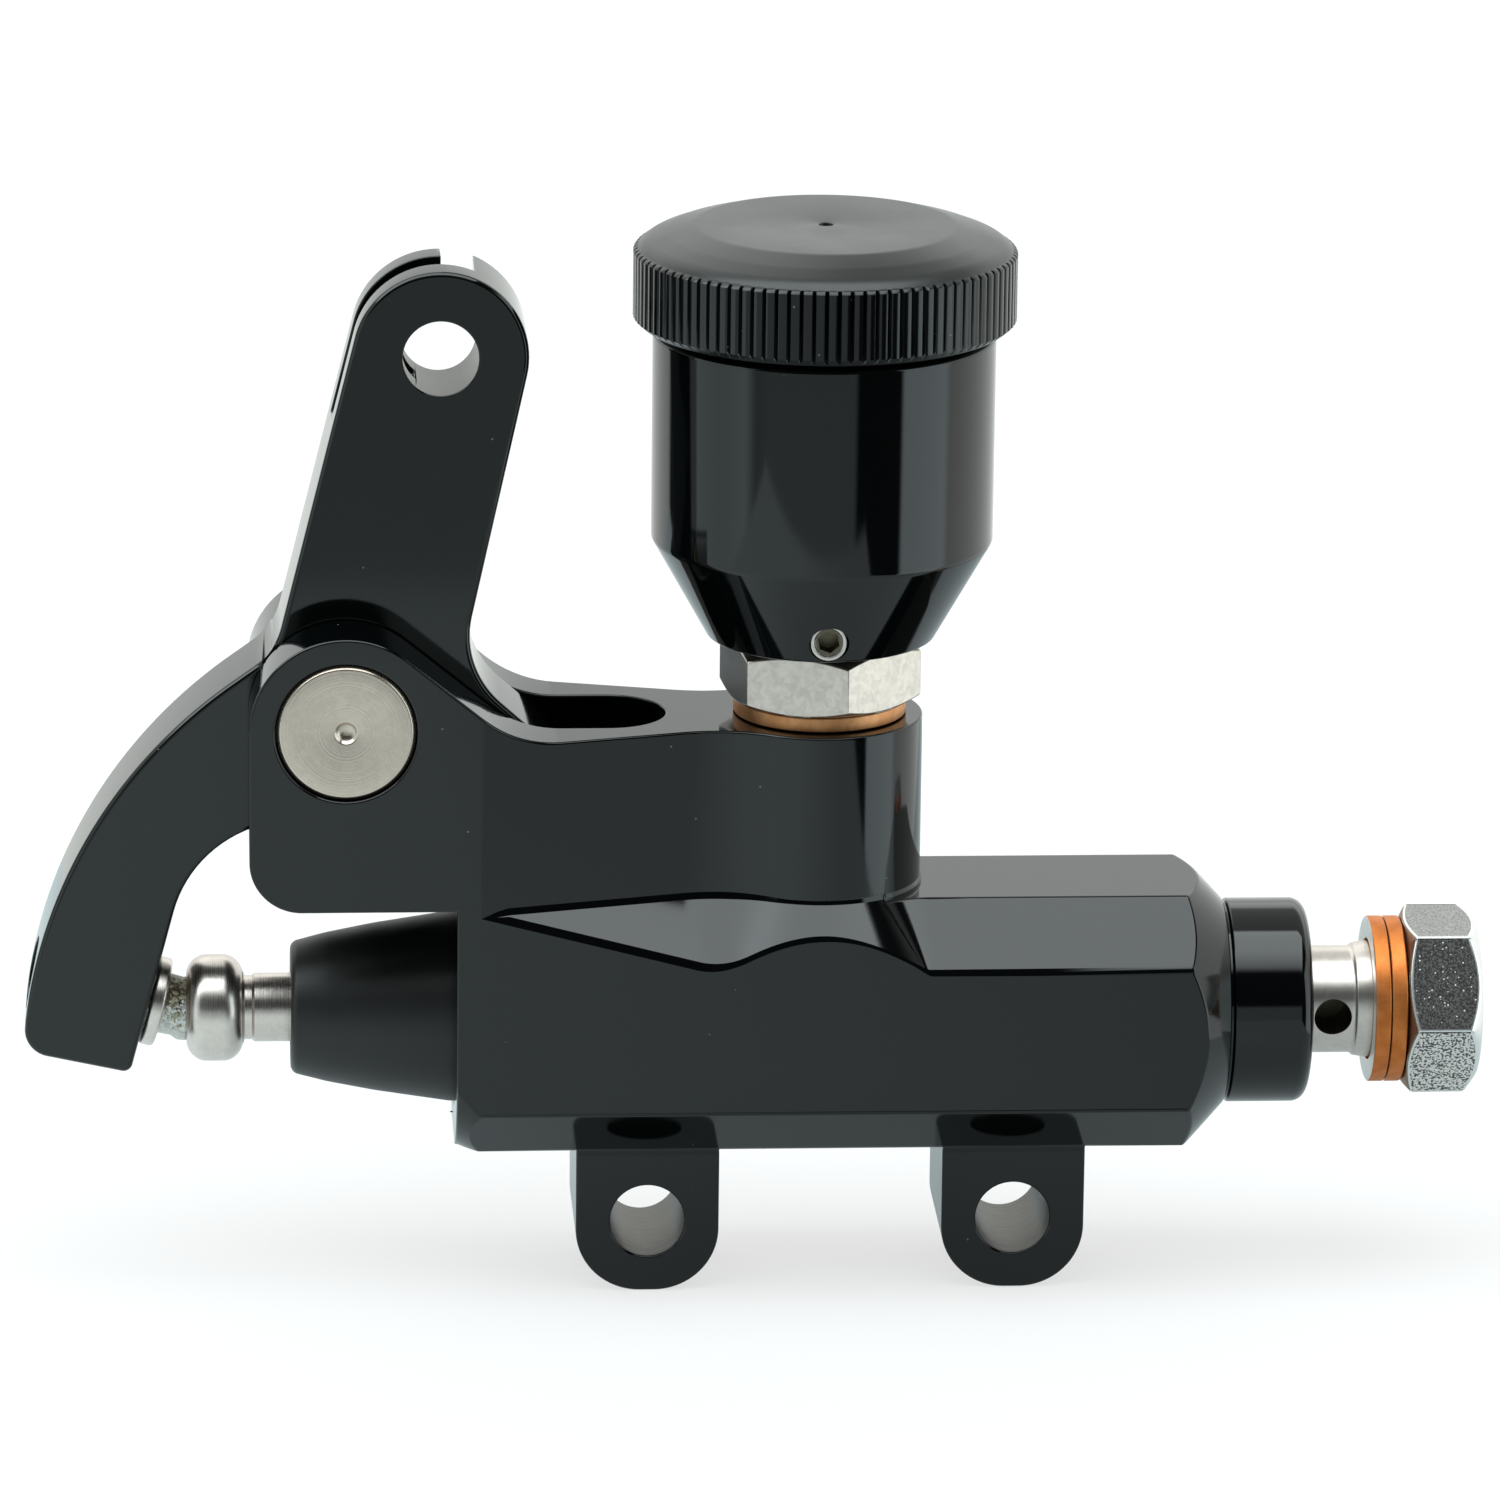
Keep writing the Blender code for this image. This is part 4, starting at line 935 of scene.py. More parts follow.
def reservoir_set_screw():
    front = SET_SCREW_FACE
    rear = -5.3
    profile = rounded([
        (0, rear, 0), (SET_SCREW_R, rear, 0.2), (SET_SCREW_R, front, 0.12),
        (SET_SCREW_R - 0.3, front, 0.08), (SET_SCREW_R - 0.5, front + 0.25, 0), (0, front + 0.25, 0),
    ], radians(15), closed=False)
    shape = turned("reservoir_set_screw_fine", profile, "Y", (TANK_X, SET_SCREW_Z), 64)
    socket = hexagon((TANK_X, SET_SCREW_Z), 1.7, radians(40))
    cut(shape, prism("socket", socket, "Y", front - 1.7, front + 1.7))
    return shape


def cap():
    """Knurled screw cap with a sloping shoulder, a flat top and a breather hole."""
    tooth = (0.0, 0.9, 1.0, 1.0, 1.0, 0.9)      # heights round one tooth of the knurl
    # Each level is (radius, height, how much of the knurl shows there)
    levels = [
        (CAP_LIP_R, CAP_BOTTOM, 0), (CAP_R - 0.75, CAP_BOTTOM, 0),
        (CAP_R - 0.45, CAP_BOTTOM + 0.22, 0), (CAP_R, CAP_BOTTOM + 0.62, 1),
        (CAP_R, CAP_EDGE - 0.22, 1), (CAP_R - 0.12, CAP_EDGE - 0.04, 1),
        (CAP_R - 0.3, CAP_EDGE + 0.06, 0.3),
    ]
    smooth = rounded([
        (CAP_R - 0.42, CAP_EDGE + 0.1, 0), *CAP_SHOULDER, (CAP_FLAT_R + 0.4, CAP_TOP, 2.2),
        (BREATHER_R + 0.25, CAP_TOP, 0), (BREATHER_R + 0.07, CAP_TOP - 0.06, 0),
        (BREATHER_R, CAP_TOP - 0.25, 0), (BREATHER_R, CAP_CEILING, 0),
    ], radians(3), closed=False)
    smooth += [(13.0, CAP_CEILING), (CAP_BORE_R, CAP_CEILING - 0.5), (CAP_BORE_R, CAP_BOTTOM + 0.8)]
    levels += [(radius, z, 0) for radius, z in smooth]
    count = CAP_TEETH * len(tooth)
    rings = []
    for radius, z, knurl in levels:
        ring = []
        for i in range(count):
            r = radius - KNURL_DEPTH * (1 - tooth[i % len(tooth)]) * knurl
            a = 2 * pi * (i + 0.5) / count
            ring.append(Vector((TANK_X + r * cos(a), r * sin(a), z)) * MM)
        rings.append(ring)
    return loft("cap_fine", rings, closed_loop=True)


# ---------------------------------------------------------------- outlet bolt

def outlet_bolt():
    """Hexagon head, collar, plain neck with a cross hole, and a thread in the outlet boss."""
    centre = (0, BORE_Z)
    outline = hexagon(centre, BOLT_ACROSS_FLATS, BOLT_TURN)
    shape = prism("outlet_bolt", outline, "X", BOLT_HEAD_LEFT, BOLT_HEAD_RIGHT)
    ends = (BOLT_HEAD_LEFT, 0.3, 0.8), (BOLT_HEAD_RIGHT, 0.4, 1.2)
    combine(shape, hexagon_trim("trim", "X", centre, BOLT_ACROSS_FLATS, *ends), "INTERSECT")
    thread = [(*point, 0) for point in ridges(BOLT_THREAD, BOLT_END + 0.5, 38.8)]
    inside_head = BOLT_HEAD_LEFT + 1
    shank = rounded([
        (0, BOLT_END, 0), (4.2, BOLT_END, 0), *thread, (BOLT_NECK_R, 40.2, 0.3),
        (BOLT_NECK_R, BOLT_COLLAR_X - 0.25, 0.5), (BOLT_COLLAR_R - 0.15, BOLT_COLLAR_X, 0.3),
        (BOLT_COLLAR_R, BOLT_COLLAR_X + 0.9, 0.4), (BOLT_COLLAR_R, inside_head, 0),
        (0, inside_head, 0),
    ], radians(12), closed=False)
    join(shape, turned("shank", shank, "X", centre, 128))
    cut(shape, cylinder("bolt_bore", "X", centre, 1.7, BOLT_END - THROUGH, 47, 48))
    hole = (BOLT_HOLE_X, BORE_Z - 0.25)
    cut(shape, cylinder("cross_hole", "Y", hole, BOLT_HOLE_R, -8, 0.4, 64))

    def edge_width(edge):
        x = (edge.verts[0].co.x + edge.verts[1].co.x) / 2 / MM
        return 0.22 if x > BOLT_HEAD_LEFT - 0.01 and edge.is_convex else 0.0

    soften_edges(shape, edge_width, segments=2, limit=radians(24))
    return shape


def outlet_washer(node):
    low, high = box_mm(node)
    profile = ring_profile(BOLT_COLLAR_R + 0.2, WASHER_R, low.x, high.x, 0.14)
    return turned(node + "_fine", profile, "X", (0, BORE_Z))


# ---------------------------------------------------------------- finishes

def feed(tree, socket, value):
    """Link a socket to an input, or set its value; a colour of three numbers is opaque."""
    if isinstance(value, bpy.types.NodeSocket):
        tree.links.new(value, socket)
    elif socket.type == "RGBA" and len(value) == 3:
        socket.default_value = (*value, 1.0)
    else:
        socket.default_value = value


def add_node(tree, kind, inputs=None, **settings):
    made = tree.nodes.new("ShaderNode" + kind)
    for key, value in settings.items():
        setattr(made, key, value)
    for key, value in (inputs or {}).items():
        feed(tree, made.inputs[key], value)
    return made


def math(tree, operation, a, b=0.0):
    return add_node(tree, "Math", {0: a, 1: b}, operation=operation).outputs[0]


def product(tree, first, *others):
    for other in others:
        first = math(tree, "MULTIPLY", first, other)
    return first


def vector_math(tree, operation, inputs):
    return add_node(tree, "VectorMath", inputs, operation=operation).outputs[0]


def blend_values(tree, factor, low, high):
    made = add_node(tree, "MapRange", {"Value": factor, "To Min": low, "To Max": high})
    return made.outputs[0]


def noise(tree, place, size, detail=3.0, distortion=0.0):
    """Noise whose features are about size mm wide."""
    inputs = {"Vector": place, "Scale": 1 / (size * MM), "Detail": detail, "Distortion": distortion}
    return add_node(tree, "TexNoise", inputs).outputs["Fac"]


def contrast(tree, value, low, high):
    inputs = {"Value": value, "From Min": low, "From Max": high}
    return add_node(tree, "MapRange", inputs, interpolation_type="SMOOTHSTEP").outputs[0]


def mix_colour(tree, factor, one, two):
    # The colour inputs of a Mix node are its seventh and eighth
    inputs = {0: factor, 6: one, 7: two}
    return add_node(tree, "Mix", inputs, data_type="RGBA").outputs[2]


def start_material(name):
    material = bpy.data.materials.new(name)
    material.use_nodes = True
    tree = material.node_tree
    shader = tree.nodes["Principled BSDF"]
    place = add_node(tree, "TexCoord").outputs["Object"]
    return material, tree, shader, place


def set_inputs(tree, shader, values):
    for key, value in values.items():
        feed(tree, shader.inputs[key], value)


def bump(tree, height, depth):
    """Depth in mm."""
    inputs = {"Height": height, "Distance": depth * MM, "Strength": 1.0}
    return add_node(tree, "Bump", inputs).outputs["Normal"]


def from_axis(tree, place, axis, centre):
    """Distance from an axis through centre (mm, the two other coordinates), in metres."""
    full = {"X": (0, *centre), "Y": (centre[0], 0, centre[1]), "Z": (*centre, 0)}[axis]
    mask = tuple(0.0 if letter == axis else 1.0 for letter in "XYZ")
    shifted = vector_math(tree, "SUBTRACT", {0: place, 1: tuple(c * MM for c in full)})
    flat = vector_math(tree, "MULTIPLY", {0: shifted, 1: mask})
    return add_node(tree, "VectorMath", {0: flat}, operation="LENGTH").outputs["Value"]


def along_axis(tree, place, axis):
    return add_node(tree, "SeparateXYZ", {0: place}).outputs[axis]


def lines(tree, value, pitch):
    """Turning marks: one-dimensional noise of a coordinate, pitch mm apart."""
    inputs = {"W": value, "Scale": 1 / (pitch * MM), "Detail": 4.0}
    return add_node(tree, "TexNoise", inputs, noise_dimensions="1D").outputs["Fac"]


def dust(tree, place, cell, share, radius=0.09):
    """Sparse specks, dust on anodised parts and painted glints on zinc: 1 on a speck, 0 elsewhere; cell
    in mm, radius as a share of it.
    """
    cells = add_node(tree, "TexVoronoi", {"Vector": place, "Scale": 1 / (cell * MM)})
    chance = add_node(tree, "SeparateColor", {0: cells.outputs["Color"]}).outputs[0]
    near = contrast(tree, cells.outputs["Distance"], radius, radius * 0.55)
    return product(tree, near, math(tree, "GREATER_THAN", chance, 1 - share))


def scaled(colour, factor):
    return tuple(c * factor for c in colour)


def anodised(name, base=BLOCK_BLACK, roughness=0.07, grain=0.0008, specks=0.02):
    """Black anodised aluminium: near-black with a clear glassy skin."""
    material, tree, shader, place = start_material(name)
    smudge = noise(tree, place, 4.0, 4.0)
    fine = noise(tree, place, 0.12, 2.0)
    speck = dust(tree, place, 1.1, specks)
    tint = mix_colour(tree, smudge, scaled(base, 0.85), scaled(base, 1.15))
    spread = blend_values(tree, smudge, roughness * 0.85, roughness * 1.2)
    set_inputs(tree, shader, {
        "Base Color": mix_colour(tree, speck, tint, SPECK_GREY), "IOR": 1.5,
        "Roughness": math(tree, "ADD", spread, product(tree, speck, 0.3)),
        "Normal": bump(tree, fine, grain),
    })
    return material


def steel(name, colour=STEEL_GREY, roughness=0.2, axis=None, centre=None, pitch=0.09,
          marks=0.004, mottle=0.05):
    """Machined steel: turning marks along an axis, or in rings round its centre if one is given."""
    material, tree, shader, place = start_material(name)
    cloud = contrast(tree, noise(tree, place, 0.9, 6.0, 1.0), 0.3, 0.7)
    shade = mix_colour(tree, cloud, scaled(colour, 1 - 2 * mottle), scaled(colour, 1 + mottle))
    if axis is None:
        height = noise(tree, place, 0.1, 3.0)
    elif centre is None:
        height = lines(tree, along_axis(tree, place, axis), pitch)
    else:
        height = lines(tree, from_axis(tree, place, axis, centre), pitch)
    set_inputs(tree, shader, {
        "Base Color": shade, "Metallic": 1.0,
        "Roughness": blend_values(tree, height, roughness * 0.75, roughness * 1.35),
        "Normal": bump(tree, height, marks),
    })
    return material


def greasy_steel(name):
    """Steel under a crinkled film of old grease, yellow-brown where it is thick."""
    material, tree, shader, place = start_material(name)
    crinkle = noise(tree, place, 0.9, 3.0, 2.5)
    height = math(tree, "SUBTRACT", along_axis(tree, place, "Z"), (CONTACT_Z + 0.6) * MM)
    lean = product(tree, height, 0.12 / MM)
    patch = contrast(tree, math(tree, "ADD", noise(tree, place, 1.6, 3.0, 1.5), lean), 0.5, 0.58)
    folds = contrast(tree, crinkle, 0.4, 0.6)
    film = mix_colour(tree, folds, (0.06, 0.045, 0.018), (0.50, 0.46, 0.32))
    set_inputs(tree, shader, {
        "Base Color": mix_colour(tree, patch, (0.58, 0.57, 0.53), film),
        "Metallic": blend_values(tree, patch, 1.0, 0.35),
        "Roughness": blend_values(tree, crinkle, 0.12, 0.34),
        "Normal": bump(tree, crinkle, 0.3),
    })
    return material


def grainy_zinc(name, dark, light, share, size=0.17, painted_glint_share=0.0):
    """Coarse plating seen as salt and pepper; share is how much of it is light. White specks that also
    glow are painted glints.
    """
    material, tree, shader, place = start_material(name)
    grain = noise(tree, place, size, 1.0)
    level = 0.62 - 0.24 * share
    shade = mix_colour(tree, contrast(tree, grain, level - 0.06, level + 0.06), dark, light)
    # Painted glints: white specks that glow through the emission below
    speck = dust(tree, place, 0.34, painted_glint_share, 0.24)
    set_inputs(tree, shader, {
        "Base Color": mix_colour(tree, speck, shade, (0.95, 0.95, 0.94)), "Metallic": 0.8,
        "Roughness": blend_values(tree, grain, 0.45, 0.6), "Normal": bump(tree, grain, 0.02),
        "Emission Color": (1.0, 1.0, 1.0), "Emission Strength": product(tree, speck, 0.25),
    })
    return material


def copper(name, axis, dark=(0.50, 0.145, 0.03), light=(0.76, 0.27, 0.08)):
    """Soft copper: fine scratches round the rim, short serrations across it, blotches."""
    material, tree, shader, place = start_material(name)
    cloud = contrast(tree, noise(tree, place, 1.4, 5.0), 0.3, 0.7)
    marks = lines(tree, along_axis(tree, place, axis), 0.06)
    squeeze = (0.1, 1.0, 1.0) if axis == "X" else (1.0, 1.0, 0.1)
    stretched = add_node(tree, "Mapping", {"Vector": place, "Scale": squeeze}).outputs[0]
    across = noise(tree, stretched, 0.1, 2.0)
    streaks = product(tree, math(tree, "ADD", cloud, across), 0.5)
    set_inputs(tree, shader, {
        "Base Color": mix_colour(tree, streaks, dark, light), "Metallic": 1.0,
        "Roughness": blend_values(tree, across, 0.42, 0.6),
        "Normal": bump(tree, math(tree, "ADD", marks, across), 0.006),
    })
    return material


def matt(name, base=0.008, roughness=0.5):
    """A plain dull surface with faint clouds; rubber is the darkest."""
    material, tree, shader, place = start_material(name)
    fine = noise(tree, place, 0.15, 3.0)
    cloud = noise(tree, place, 3.0, 3.0)
    set_inputs(tree, shader, {
        "Base Color": mix_colour(tree, cloud, (base * 0.7,) * 3, (base * 1.3,) * 3),
        "Roughness": blend_values(tree, cloud, roughness * 0.85, roughness * 1.15),
        "Normal": bump(tree, fine, 0.006),
    })
    return material


def white_plastic(name):
    material, tree, shader, place = start_material(name)
    cloud = noise(tree, place, 2.0, 3.0)
    set_inputs(tree, shader, {
        "Base Color": mix_colour(tree, cloud, (0.62, 0.62, 0.60), (0.72, 0.72, 0.70)),
        "Roughness": blend_values(tree, cloud, 0.4, 0.55),
    })
    return material


def dress(obj, material):
    obj.data.materials.clear()
    obj.data.materials.append(material)


def dress_faces(obj, material, chosen):
    """Give the faces that chosen(centre in mm, normal) picks a second material."""
    obj.data.materials.append(material)
    index = len(obj.data.materials) - 1
    for face in obj.data.polygons:
        if chosen(face.center / MM, face.normal):
            face.material_index = index


# ---------------------------------------------------------------- assembly

def place_piece(obj, material, body, node):
    dress(obj, material)
    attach(obj, body)
    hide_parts(node)


def place_stretched(obj, material, slot, node, fixed_x, moving_x):
    """A piece that changes length between the housing and the piston; here it gets its finish, its CAD
    node is hidden and its transform is baked, with no body.
    """
    dress(obj, material)
    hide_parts(node)
    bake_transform(obj)


def nipple_bore_face(centre, normal):
    off_axis = hypot(centre.x - HEAD_X, centre.z - HEAD_Z)
    return off_axis < NIPPLE_R + 0.02 and abs(normal.y) < 0.3


def lug_bore_face(centre, normal):
    off_axis = hypot(abs(centre.x) - LUG_X, centre.z - LUG_HOLE_Z)
    return off_axis < LUG_HOLE_R + 0.02 and abs(normal.y) < 0.3


def set_screw_socket(centre, normal):
    return hypot(centre.x - TANK_X, centre.z - SET_SCREW_Z) < 1.05


def cap_knurl(centre, normal):
    return centre.z < CAP_EDGE and abs(normal.z) < 0.5


def union_left_flat(centre, normal):
    return normal.x < -0.93 and abs(normal.z) < 0.05


def dress_bolt(bolt):
    """Plain turned neck, bright edges, brown left cone, and three grain finishes on the flats, lighter or
    darker by the way each flat faces: painted light and shade.
    """
    # Dark steel inside the bore and the cross hole: painted shade of the holes
    inside = steel("drilled_steel_painted_shade", (0.13, 0.115, 0.085), 0.35, marks=0.02)
    edges = steel("bright_edge", (0.86, 0.86, 0.85), 0.3, mottle=0.02)
    brown = steel("brown_cone", (0.30, 0.20, 0.14), 0.4)
    fine = grainy_zinc("zinc_fine_painted_light", (0.23, 0.225, 0.215), (0.39, 0.38, 0.37), 0.6)
    sparkling = grainy_zinc(
        "zinc_painted_shade_and_glints", (0.055, 0.053, 0.05), (0.145, 0.14, 0.135), 0.45, painted_glint_share=0.3,
    )
    coarse = grainy_zinc("zinc_coarse_painted_light", (0.10, 0.095, 0.09), (0.88, 0.85, 0.82), 0.62, 0.21)

    def in_hole(centre, normal):
        off_axis = hypot(centre.y, centre.z - BORE_Z)
        return 40.5 < centre.x < BOLT_COLLAR_X and off_axis < BOLT_NECK_R - 0.05

    def on_head(centre):
        return centre.x > BOLT_HEAD_LEFT - 0.02

    def flat(normal):
        angle = (atan2(normal.z, normal.y) - BOLT_TURN - pi / 6) / (pi / 3)
        return abs(normal.x) < 0.02 and abs(angle - round(angle)) < 0.02

    def head_flat(low, high):
        """Flats whose normals point up by more than low and at most high."""
        return lambda centre, normal: on_head(centre) and flat(normal) and low < normal.z <= high

    dress_faces(bolt, inside, in_hole)
    dress_faces(bolt, edges, lambda centre, normal: on_head(centre) and not flat(normal))
    dress_faces(bolt, brown, lambda centre, normal: on_head(centre) and normal.x < -0.3)
    # Each flat's zinc copy is picked by the way the flat faces (up, sideways, down): painted light and
    # shade on one plating
    dress_faces(bolt, fine, head_flat(0.7, 1.0))
    dress_faces(bolt, sparkling, head_flat(0.0, 0.7))
    dress_faces(bolt, coarse, head_flat(-1.1, 0.0))


def assemble_body():
    body = machined_body()
    place_piece(body, anodised("black_anodised_block"), "housing", "cylinder_body")
    # The lug holes' bare metal is darkened: painted shade of the holes
    bore = steel("bare_bore_painted_shade", (0.085, 0.08, 0.07), 0.35, axis="Y", pitch=0.35, marks=0.02)
    dress_faces(body, bore, lug_bore_face)
    ringed = steel(
        "pin_face", (0.61, 0.52, 0.44), 0.26, axis="Y", centre=(PIVOT_X, PIVOT_Z), pitch=0.16,
        marks=0.01, mottle=0.03,
    )
    place_piece(pivot_pin(), ringed, "housing", "pivot_pin")


def assemble_lever():
    piece = lever()
    place_piece(piece, anodised("black_anodised_lever", LEVER_BLACK), "lever", "lever")
    # The nipple hole's bare metal is darkened: painted shade of the hole
    bare = steel("nipple_bore_painted_shade", (0.085, 0.08, 0.073), 0.3, axis="Y", pitch=0.2, marks=0.01)
    dress_faces(piece, bare, nipple_bore_face)
    satin = steel("satin_steel", roughness=0.27, axis="X", pitch=0.07, marks=0.008, mottle=0.03)
    greasy = greasy_steel("greasy_steel")
    place_piece(adjuster_screw(), greasy, "adjuster", "adjuster_screw")
    place_piece(adjuster_lock_nut(), satin, "lever", "adjuster_lock_nut")
    place_piece(pushrod(), satin, "pushrod", "pushrod")


def assemble_stretching_pieces():
    rubber = matt("rubber_boot", 0.005, 0.45)
    place_stretched(dust_boot(), rubber, "rubber", "dust_boot", *BOOT_STRETCH)
    wire = steel("spring_steel", roughness=0.3)
    place_stretched(return_spring(), wire, "stainless_steel", "return_spring", *SPRING_STRETCH)


def assemble_union():
    union = union_body()
    stainless = steel("stainless_union", (0.66, 0.59, 0.53), 0.3, marks=0.008, mottle=0.07)
    place_piece(union, stainless, "housing", "hex_union")
    dress_faces(union, matt("shaded_flat", 0.045, 0.5), union_left_flat)
    pale = copper("copper_union", "Z", (0.52, 0.22, 0.085), (0.80, 0.42, 0.20))
    place_piece(union_washer(), pale, "housing", "union_copper_washer")


def assemble_tank():
    black = anodised("black_anodised_tank", roughness=0.05)
    place_piece(reservoir(), black, "housing", "reservoir")
    screw = reservoir_set_screw()
    zinc = steel("zinc_screw", (0.74, 0.67, 0.63), 0.25, marks=0.006)
    place_piece(screw, zinc, "housing", "reservoir_set_screw")
    # Dark steel in the hex socket: painted shade of the recess
    socket = steel("dark_socket", (0.16, 0.14, 0.10), 0.35, marks=0.02)
    dress_faces(screw, socket, set_screw_socket)
    lid = cap()
    dull = anodised("black_anodised_cap", CAP_BLACK, 0.3, 0.004, 0.05)
    place_piece(lid, dull, "cap", "cap")
    dress_faces(lid, anodised("black_anodised_knurl", BLOCK_BLACK, 0.14, 0.002, 0.5), cap_knurl)


def assemble_outlet():
    bolt = outlet_bolt()
    neck = steel("turned_neck", roughness=0.3, axis="X", pitch=0.07, marks=0.008, mottle=0.03)
    place_piece(bolt, neck, "housing", "banjo_bolt")
    dress_bolt(bolt)
    outlet_copper = copper("copper_outlet", "X")
    pale_left_steel = steel("pale_left_face", (0.78, 0.76, 0.72), 0.3)
    for node in ("banjo_washer_inner", "banjo_washer_outer"):
        washer = outlet_washer(node)
        place_piece(washer, outlet_copper, "housing", node)
        # The washers' faces turned to the left get pale grey steel
        dress_faces(washer, pale_left_steel, lambda centre, normal: normal.x < -0.8)


def dress_hidden_nodes():
    """CAD nodes that stay get a finish by their material slot."""
    finishes = {
        "stainless_steel": steel("steel_inside", roughness=0.25, axis="X"),
        "zinc_plated_steel": steel("zinc_inside", roughness=0.4),
        "copper": copper("copper_inside", "X"),
        "bronze": steel("bronze_inside", (0.50, 0.34, 0.15), 0.35),
        "rubber": matt("rubber_inside"),
        "white_plastic": white_plastic("white_plastic_inside"),
        "black_anodised": anodised("black_anodised_inside"),
    }
    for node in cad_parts.values():
        if node.hide_render:
            continue
        for slot in node.material_slots:
            key = next(name for name in finishes if slot.material.name.startswith(name))
            slot.material = finishes[key]


# ---------------------------------------------------------------- studio

def smooth_window(tree, value, low, high, soft_low, soft_high):
    rise = contrast(tree, value, low - soft_low / 2, low + soft_low / 2)
    fall = contrast(tree, value, high + soft_high / 2, high - soft_high / 2)
    return product(tree, rise, fall)


def end_tree(tree, kind, surface):
    output = tree.nodes.new("ShaderNodeOutput" + kind)
    tree.links.new(surface, output.inputs["Surface"])


def side_panels(tree, right, front, up):
    """Soft panels all round the object, as (strength, tint)."""
    degrees = 180 / pi
    azimuth = product(tree, math(tree, "ARCTAN2", right, front), degrees)
    elevation = product(tree, math(tree, "ARCSINE", up), degrees)
    panels = [
        # azimuth from, to, soft, soft; elevation to, soft; radiance and tint
        (-200, -126, 5, 5, 60, 20, 1.0, BACK_LIGHT),       # behind left
        (-98.5, -50, 5, 11, 62, 20, 0.96, FRONT_LIGHT),    # left
        (-55, 22, 45, 4, 9, 4, 0.52, FRONT_LIGHT),         # low front, fading to the left
        (54, 91, 4, 8, 36, 8, 1.85, FRONT_LIGHT),          # right
        (91, 200, 8, 5, 36, 8, 1.08, BACK_LIGHT),          # behind right
    ]
    lights = []
    for left, far_right, soft_left, soft_right, top, soft, radiance, tint in panels:
        across = smooth_window(tree, azimuth, left, far_right, soft_left, soft_right)
        upright = smooth_window(tree, elevation, -95, top, soft, soft)
        lights.append((product(tree, across, upright, radiance), tint))
    return lights


def overhead_panels(tree, right, front, up):
    """A bright sheet above the front and a dim one above the back, as (strength, tint)."""
    safe_up = math(tree, "MAXIMUM", up, 0.05)
    sideways = math(tree, "DIVIDE", right, safe_up)
    ahead = math(tree, "DIVIDE", front, safe_up)
    above = contrast(tree, up, 0.3, 0.4)
    wide = smooth_window(tree, sideways, -1.5, 0.62, 0.3, 0.06)
    deep = smooth_window(tree, ahead, -0.2, 0.8, 0.08, 0.25)
    level = blend_values(tree, contrast(tree, ahead, 0.9, 0.2), 1.6, 3.9)
    behind = contrast(tree, ahead, -0.05, -0.3)
    return [
        (product(tree, wide, deep, level, above), TOP_LIGHT),
        (product(tree, behind, product(tree, above, 0.55)), BACK_LIGHT),
    ]


def studio_world():
    """White for the camera; soft panels round the object for everything else."""
    world = bpy.data.worlds.new("studio")
    bpy.context.scene.world = world
    world.use_nodes = True
    tree = world.node_tree
    tree.nodes.clear()
    direction = add_node(tree, "TexCoord").outputs["Generated"]
    inputs = {"Vector": direction, "Angle": CAMERA_AZIMUTH}
    turn = add_node(tree, "VectorRotate", inputs, rotation_type="Z_AXIS")
    right, back, up = add_node(tree, "SeparateXYZ", {0: turn.outputs[0]}).outputs
    front = product(tree, back, -1.0)
    total = (0.02, 0.02, 0.02)
    lights = side_panels(tree, right, front, up) + overhead_panels(tree, right, front, up)
    for strength, tint in lights:
        tinted = vector_math(tree, "SCALE", {0: tint, "Scale": strength})
        total = vector_math(tree, "ADD", {0: total, 1: tinted})
    lit = add_node(tree, "Background", {"Color": total, "Strength": 1.0})
    seen = add_node(tree, "Background", {"Color": (1.0, 1.0, 1.0, 1.0), "Strength": 1.0})
    camera_ray = add_node(tree, "LightPath").outputs["Is Camera Ray"]
    mixed = add_node(tree, "MixShader", {0: camera_ray, 1: lit.outputs[0], 2: seen.outputs[0]})
    end_tree(tree, "World", mixed.outputs[0])


def stage_plane(name, low, high, z):
    """A flat sheet that isn't part of the object, and its empty node tree."""
    bm = bmesh.new()
    bm.faces.new([bm.verts.new(Vector((x, y, z)) * MM) for x, y in rectangle(low, high)])
    mesh = bpy.data.meshes.new(name)
    bm.to_mesh(mesh)
    bm.free()
    obj = bpy.data.objects.new(name, mesh)
    bpy.context.scene.collection.objects.link(obj)
    material = bpy.data.materials.new(name)
    material.use_nodes = True
    material.node_tree.nodes.clear()
    mesh.materials.append(material)
    return obj, material.node_tree


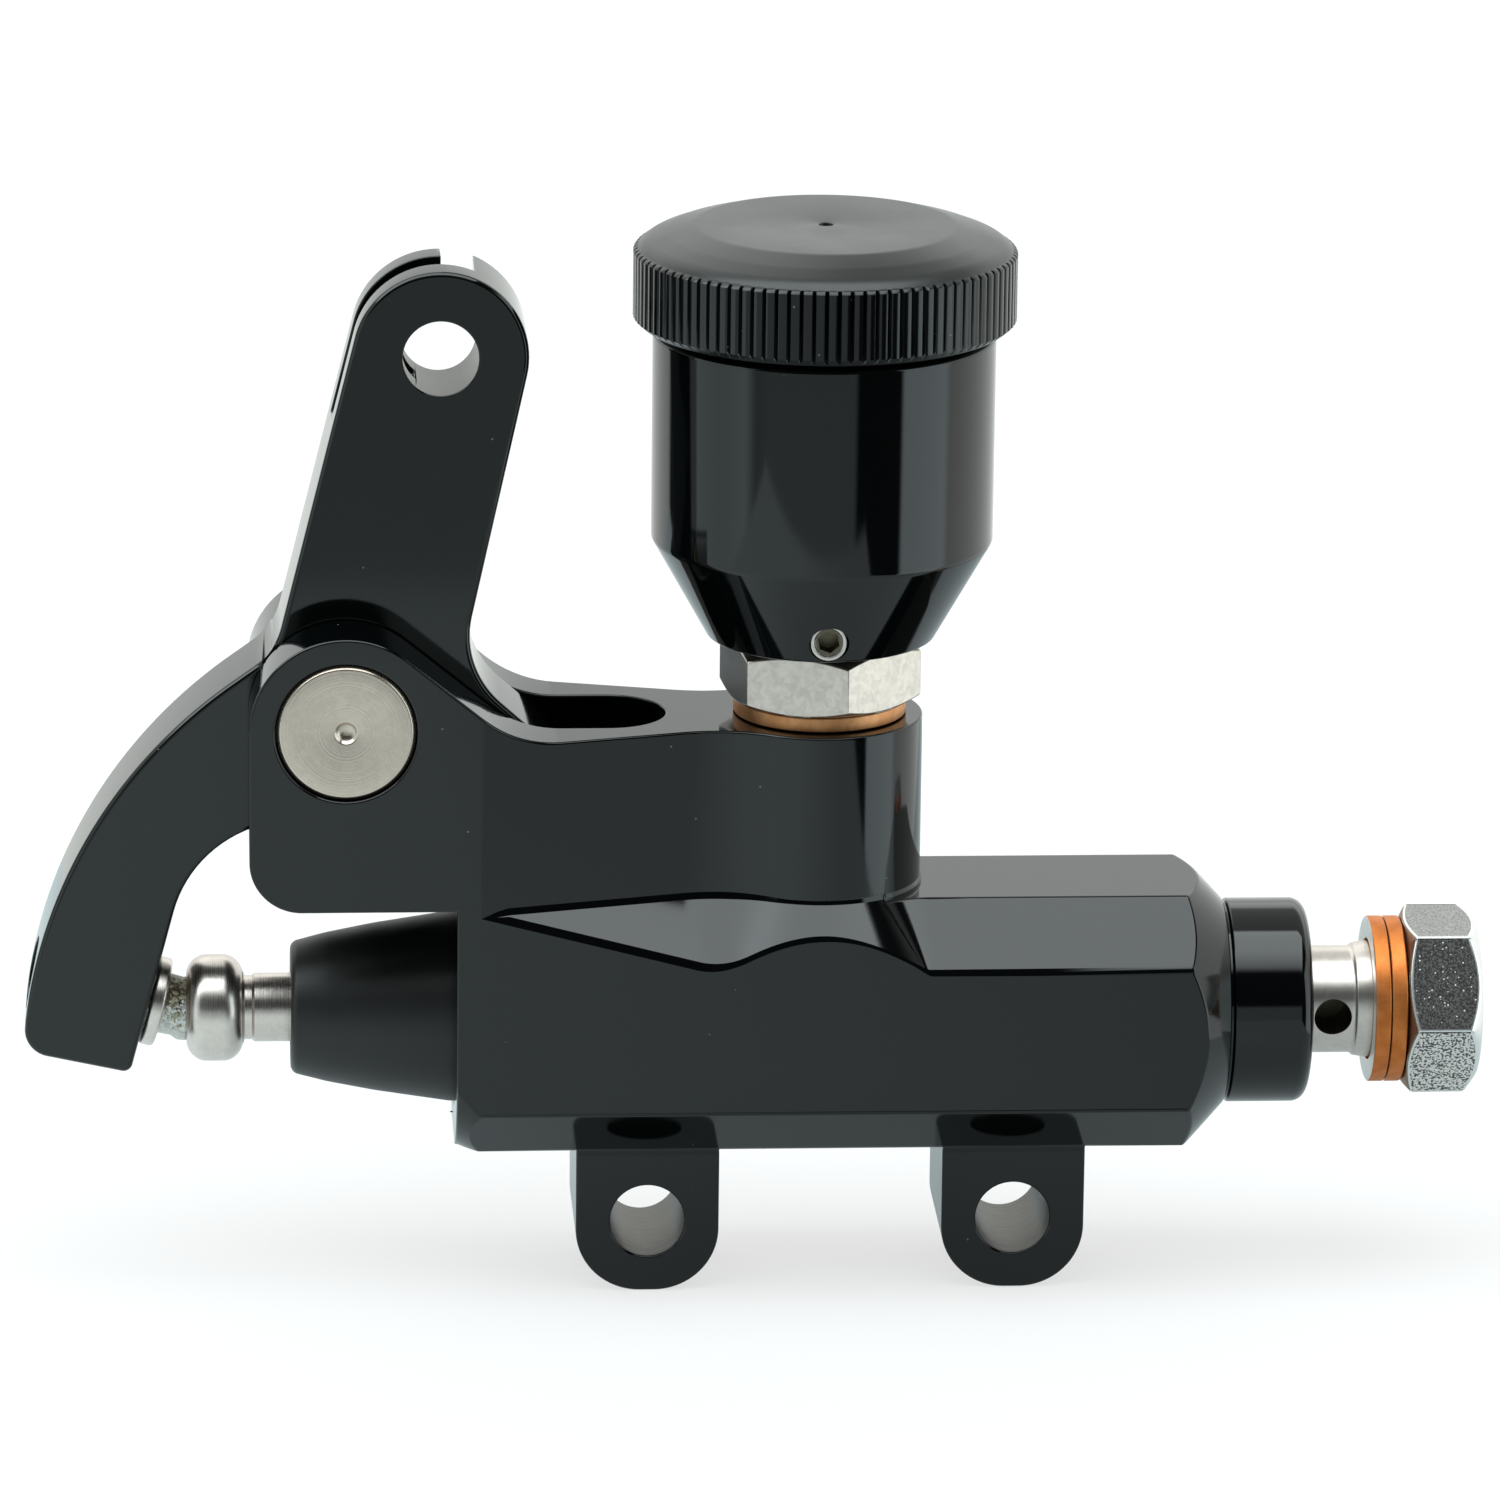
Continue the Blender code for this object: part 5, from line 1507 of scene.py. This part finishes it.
def pale_floor():
    """Nearly white floor with a faint shadow, seen by the camera only."""
    floor, tree = stage_plane("floor", (-3000, -3000), (3000, 3000), FLOOR_Z)
    glow = add_node(tree, "Emission", {"Color": (1, 1, 1, 1), "Strength": 0.68})
    chalk = add_node(tree, "BsdfDiffuse", {"Color": (0.24, 0.24, 0.24, 1)})
    both = add_node(tree, "AddShader", {0: glow.outputs[0], 1: chalk.outputs[0]})
    end_tree(tree, "Material", both.outputs[0])
    floor.visible_glossy = False
    floor.visible_diffuse = False
    floor.visible_shadow = False
    floor.visible_transmission = False


def paper_sheet():
    """The pale sheet under the object that its lower parts reflect, brighter to the left, with a painted
    shadow in its middle.
    """
    sheet, tree = stage_plane("paper_sheet", (-210, -235), (105, 165), FLOOR_Z - 0.1)
    place = add_node(tree, "TexCoord").outputs["Object"]
    slope = add_node(tree, "MapRange", {
        "Value": along_axis(tree, place, "X"), "From Min": -70 * MM, "From Max": 50 * MM,
        "To Min": 0.98, "To Max": 0.68,
    }).outputs[0]
    # Painted shadow: the sheet's glow drops towards the middle, under the object
    far = contrast(tree, from_axis(tree, place, "Z", (0, 0)), 10 * MM, 75 * MM)
    strength = product(tree, slope, blend_values(tree, far, 0.62, 1.0))
    glow = add_node(tree, "Emission", {"Color": (*FRONT_LIGHT, 1.0), "Strength": strength})
    end_tree(tree, "Material", glow.outputs[0])
    sheet.visible_camera = False


def camera():
    azimuth, elevation = CAMERA_AZIMUTH, CAMERA_ELEVATION
    forward = Vector((sin(azimuth) * cos(elevation), cos(azimuth) * cos(elevation), -sin(elevation)))
    right = Vector((cos(azimuth), -sin(azimuth), 0))
    up = right.cross(forward)
    rolled_right = right * cos(CAMERA_ROLL) + up * sin(CAMERA_ROLL)
    rolled_up = up * cos(CAMERA_ROLL) - right * sin(CAMERA_ROLL)
    place = (Vector(CAMERA_TARGET) - forward * CAMERA_DISTANCE) * MM
    data = bpy.data.cameras.new("camera")
    data.lens = CAMERA_LENS
    data.sensor_width = 36.0
    data.clip_start = 0.01
    obj = bpy.data.objects.new("camera", data)
    bpy.context.scene.collection.objects.link(obj)
    columns = Matrix((rolled_right, rolled_up, -forward)).transposed().to_4x4()
    obj.matrix_world = Matrix.Translation(place) @ columns
    bpy.context.scene.camera = obj


assemble_body()
assemble_lever()
assemble_stretching_pieces()
assemble_union()
assemble_tank()
assemble_outlet()
dress_hidden_nodes()
studio_world()
pale_floor()
paper_sheet()
camera()
bpy.context.scene.view_settings.view_transform = "Standard"
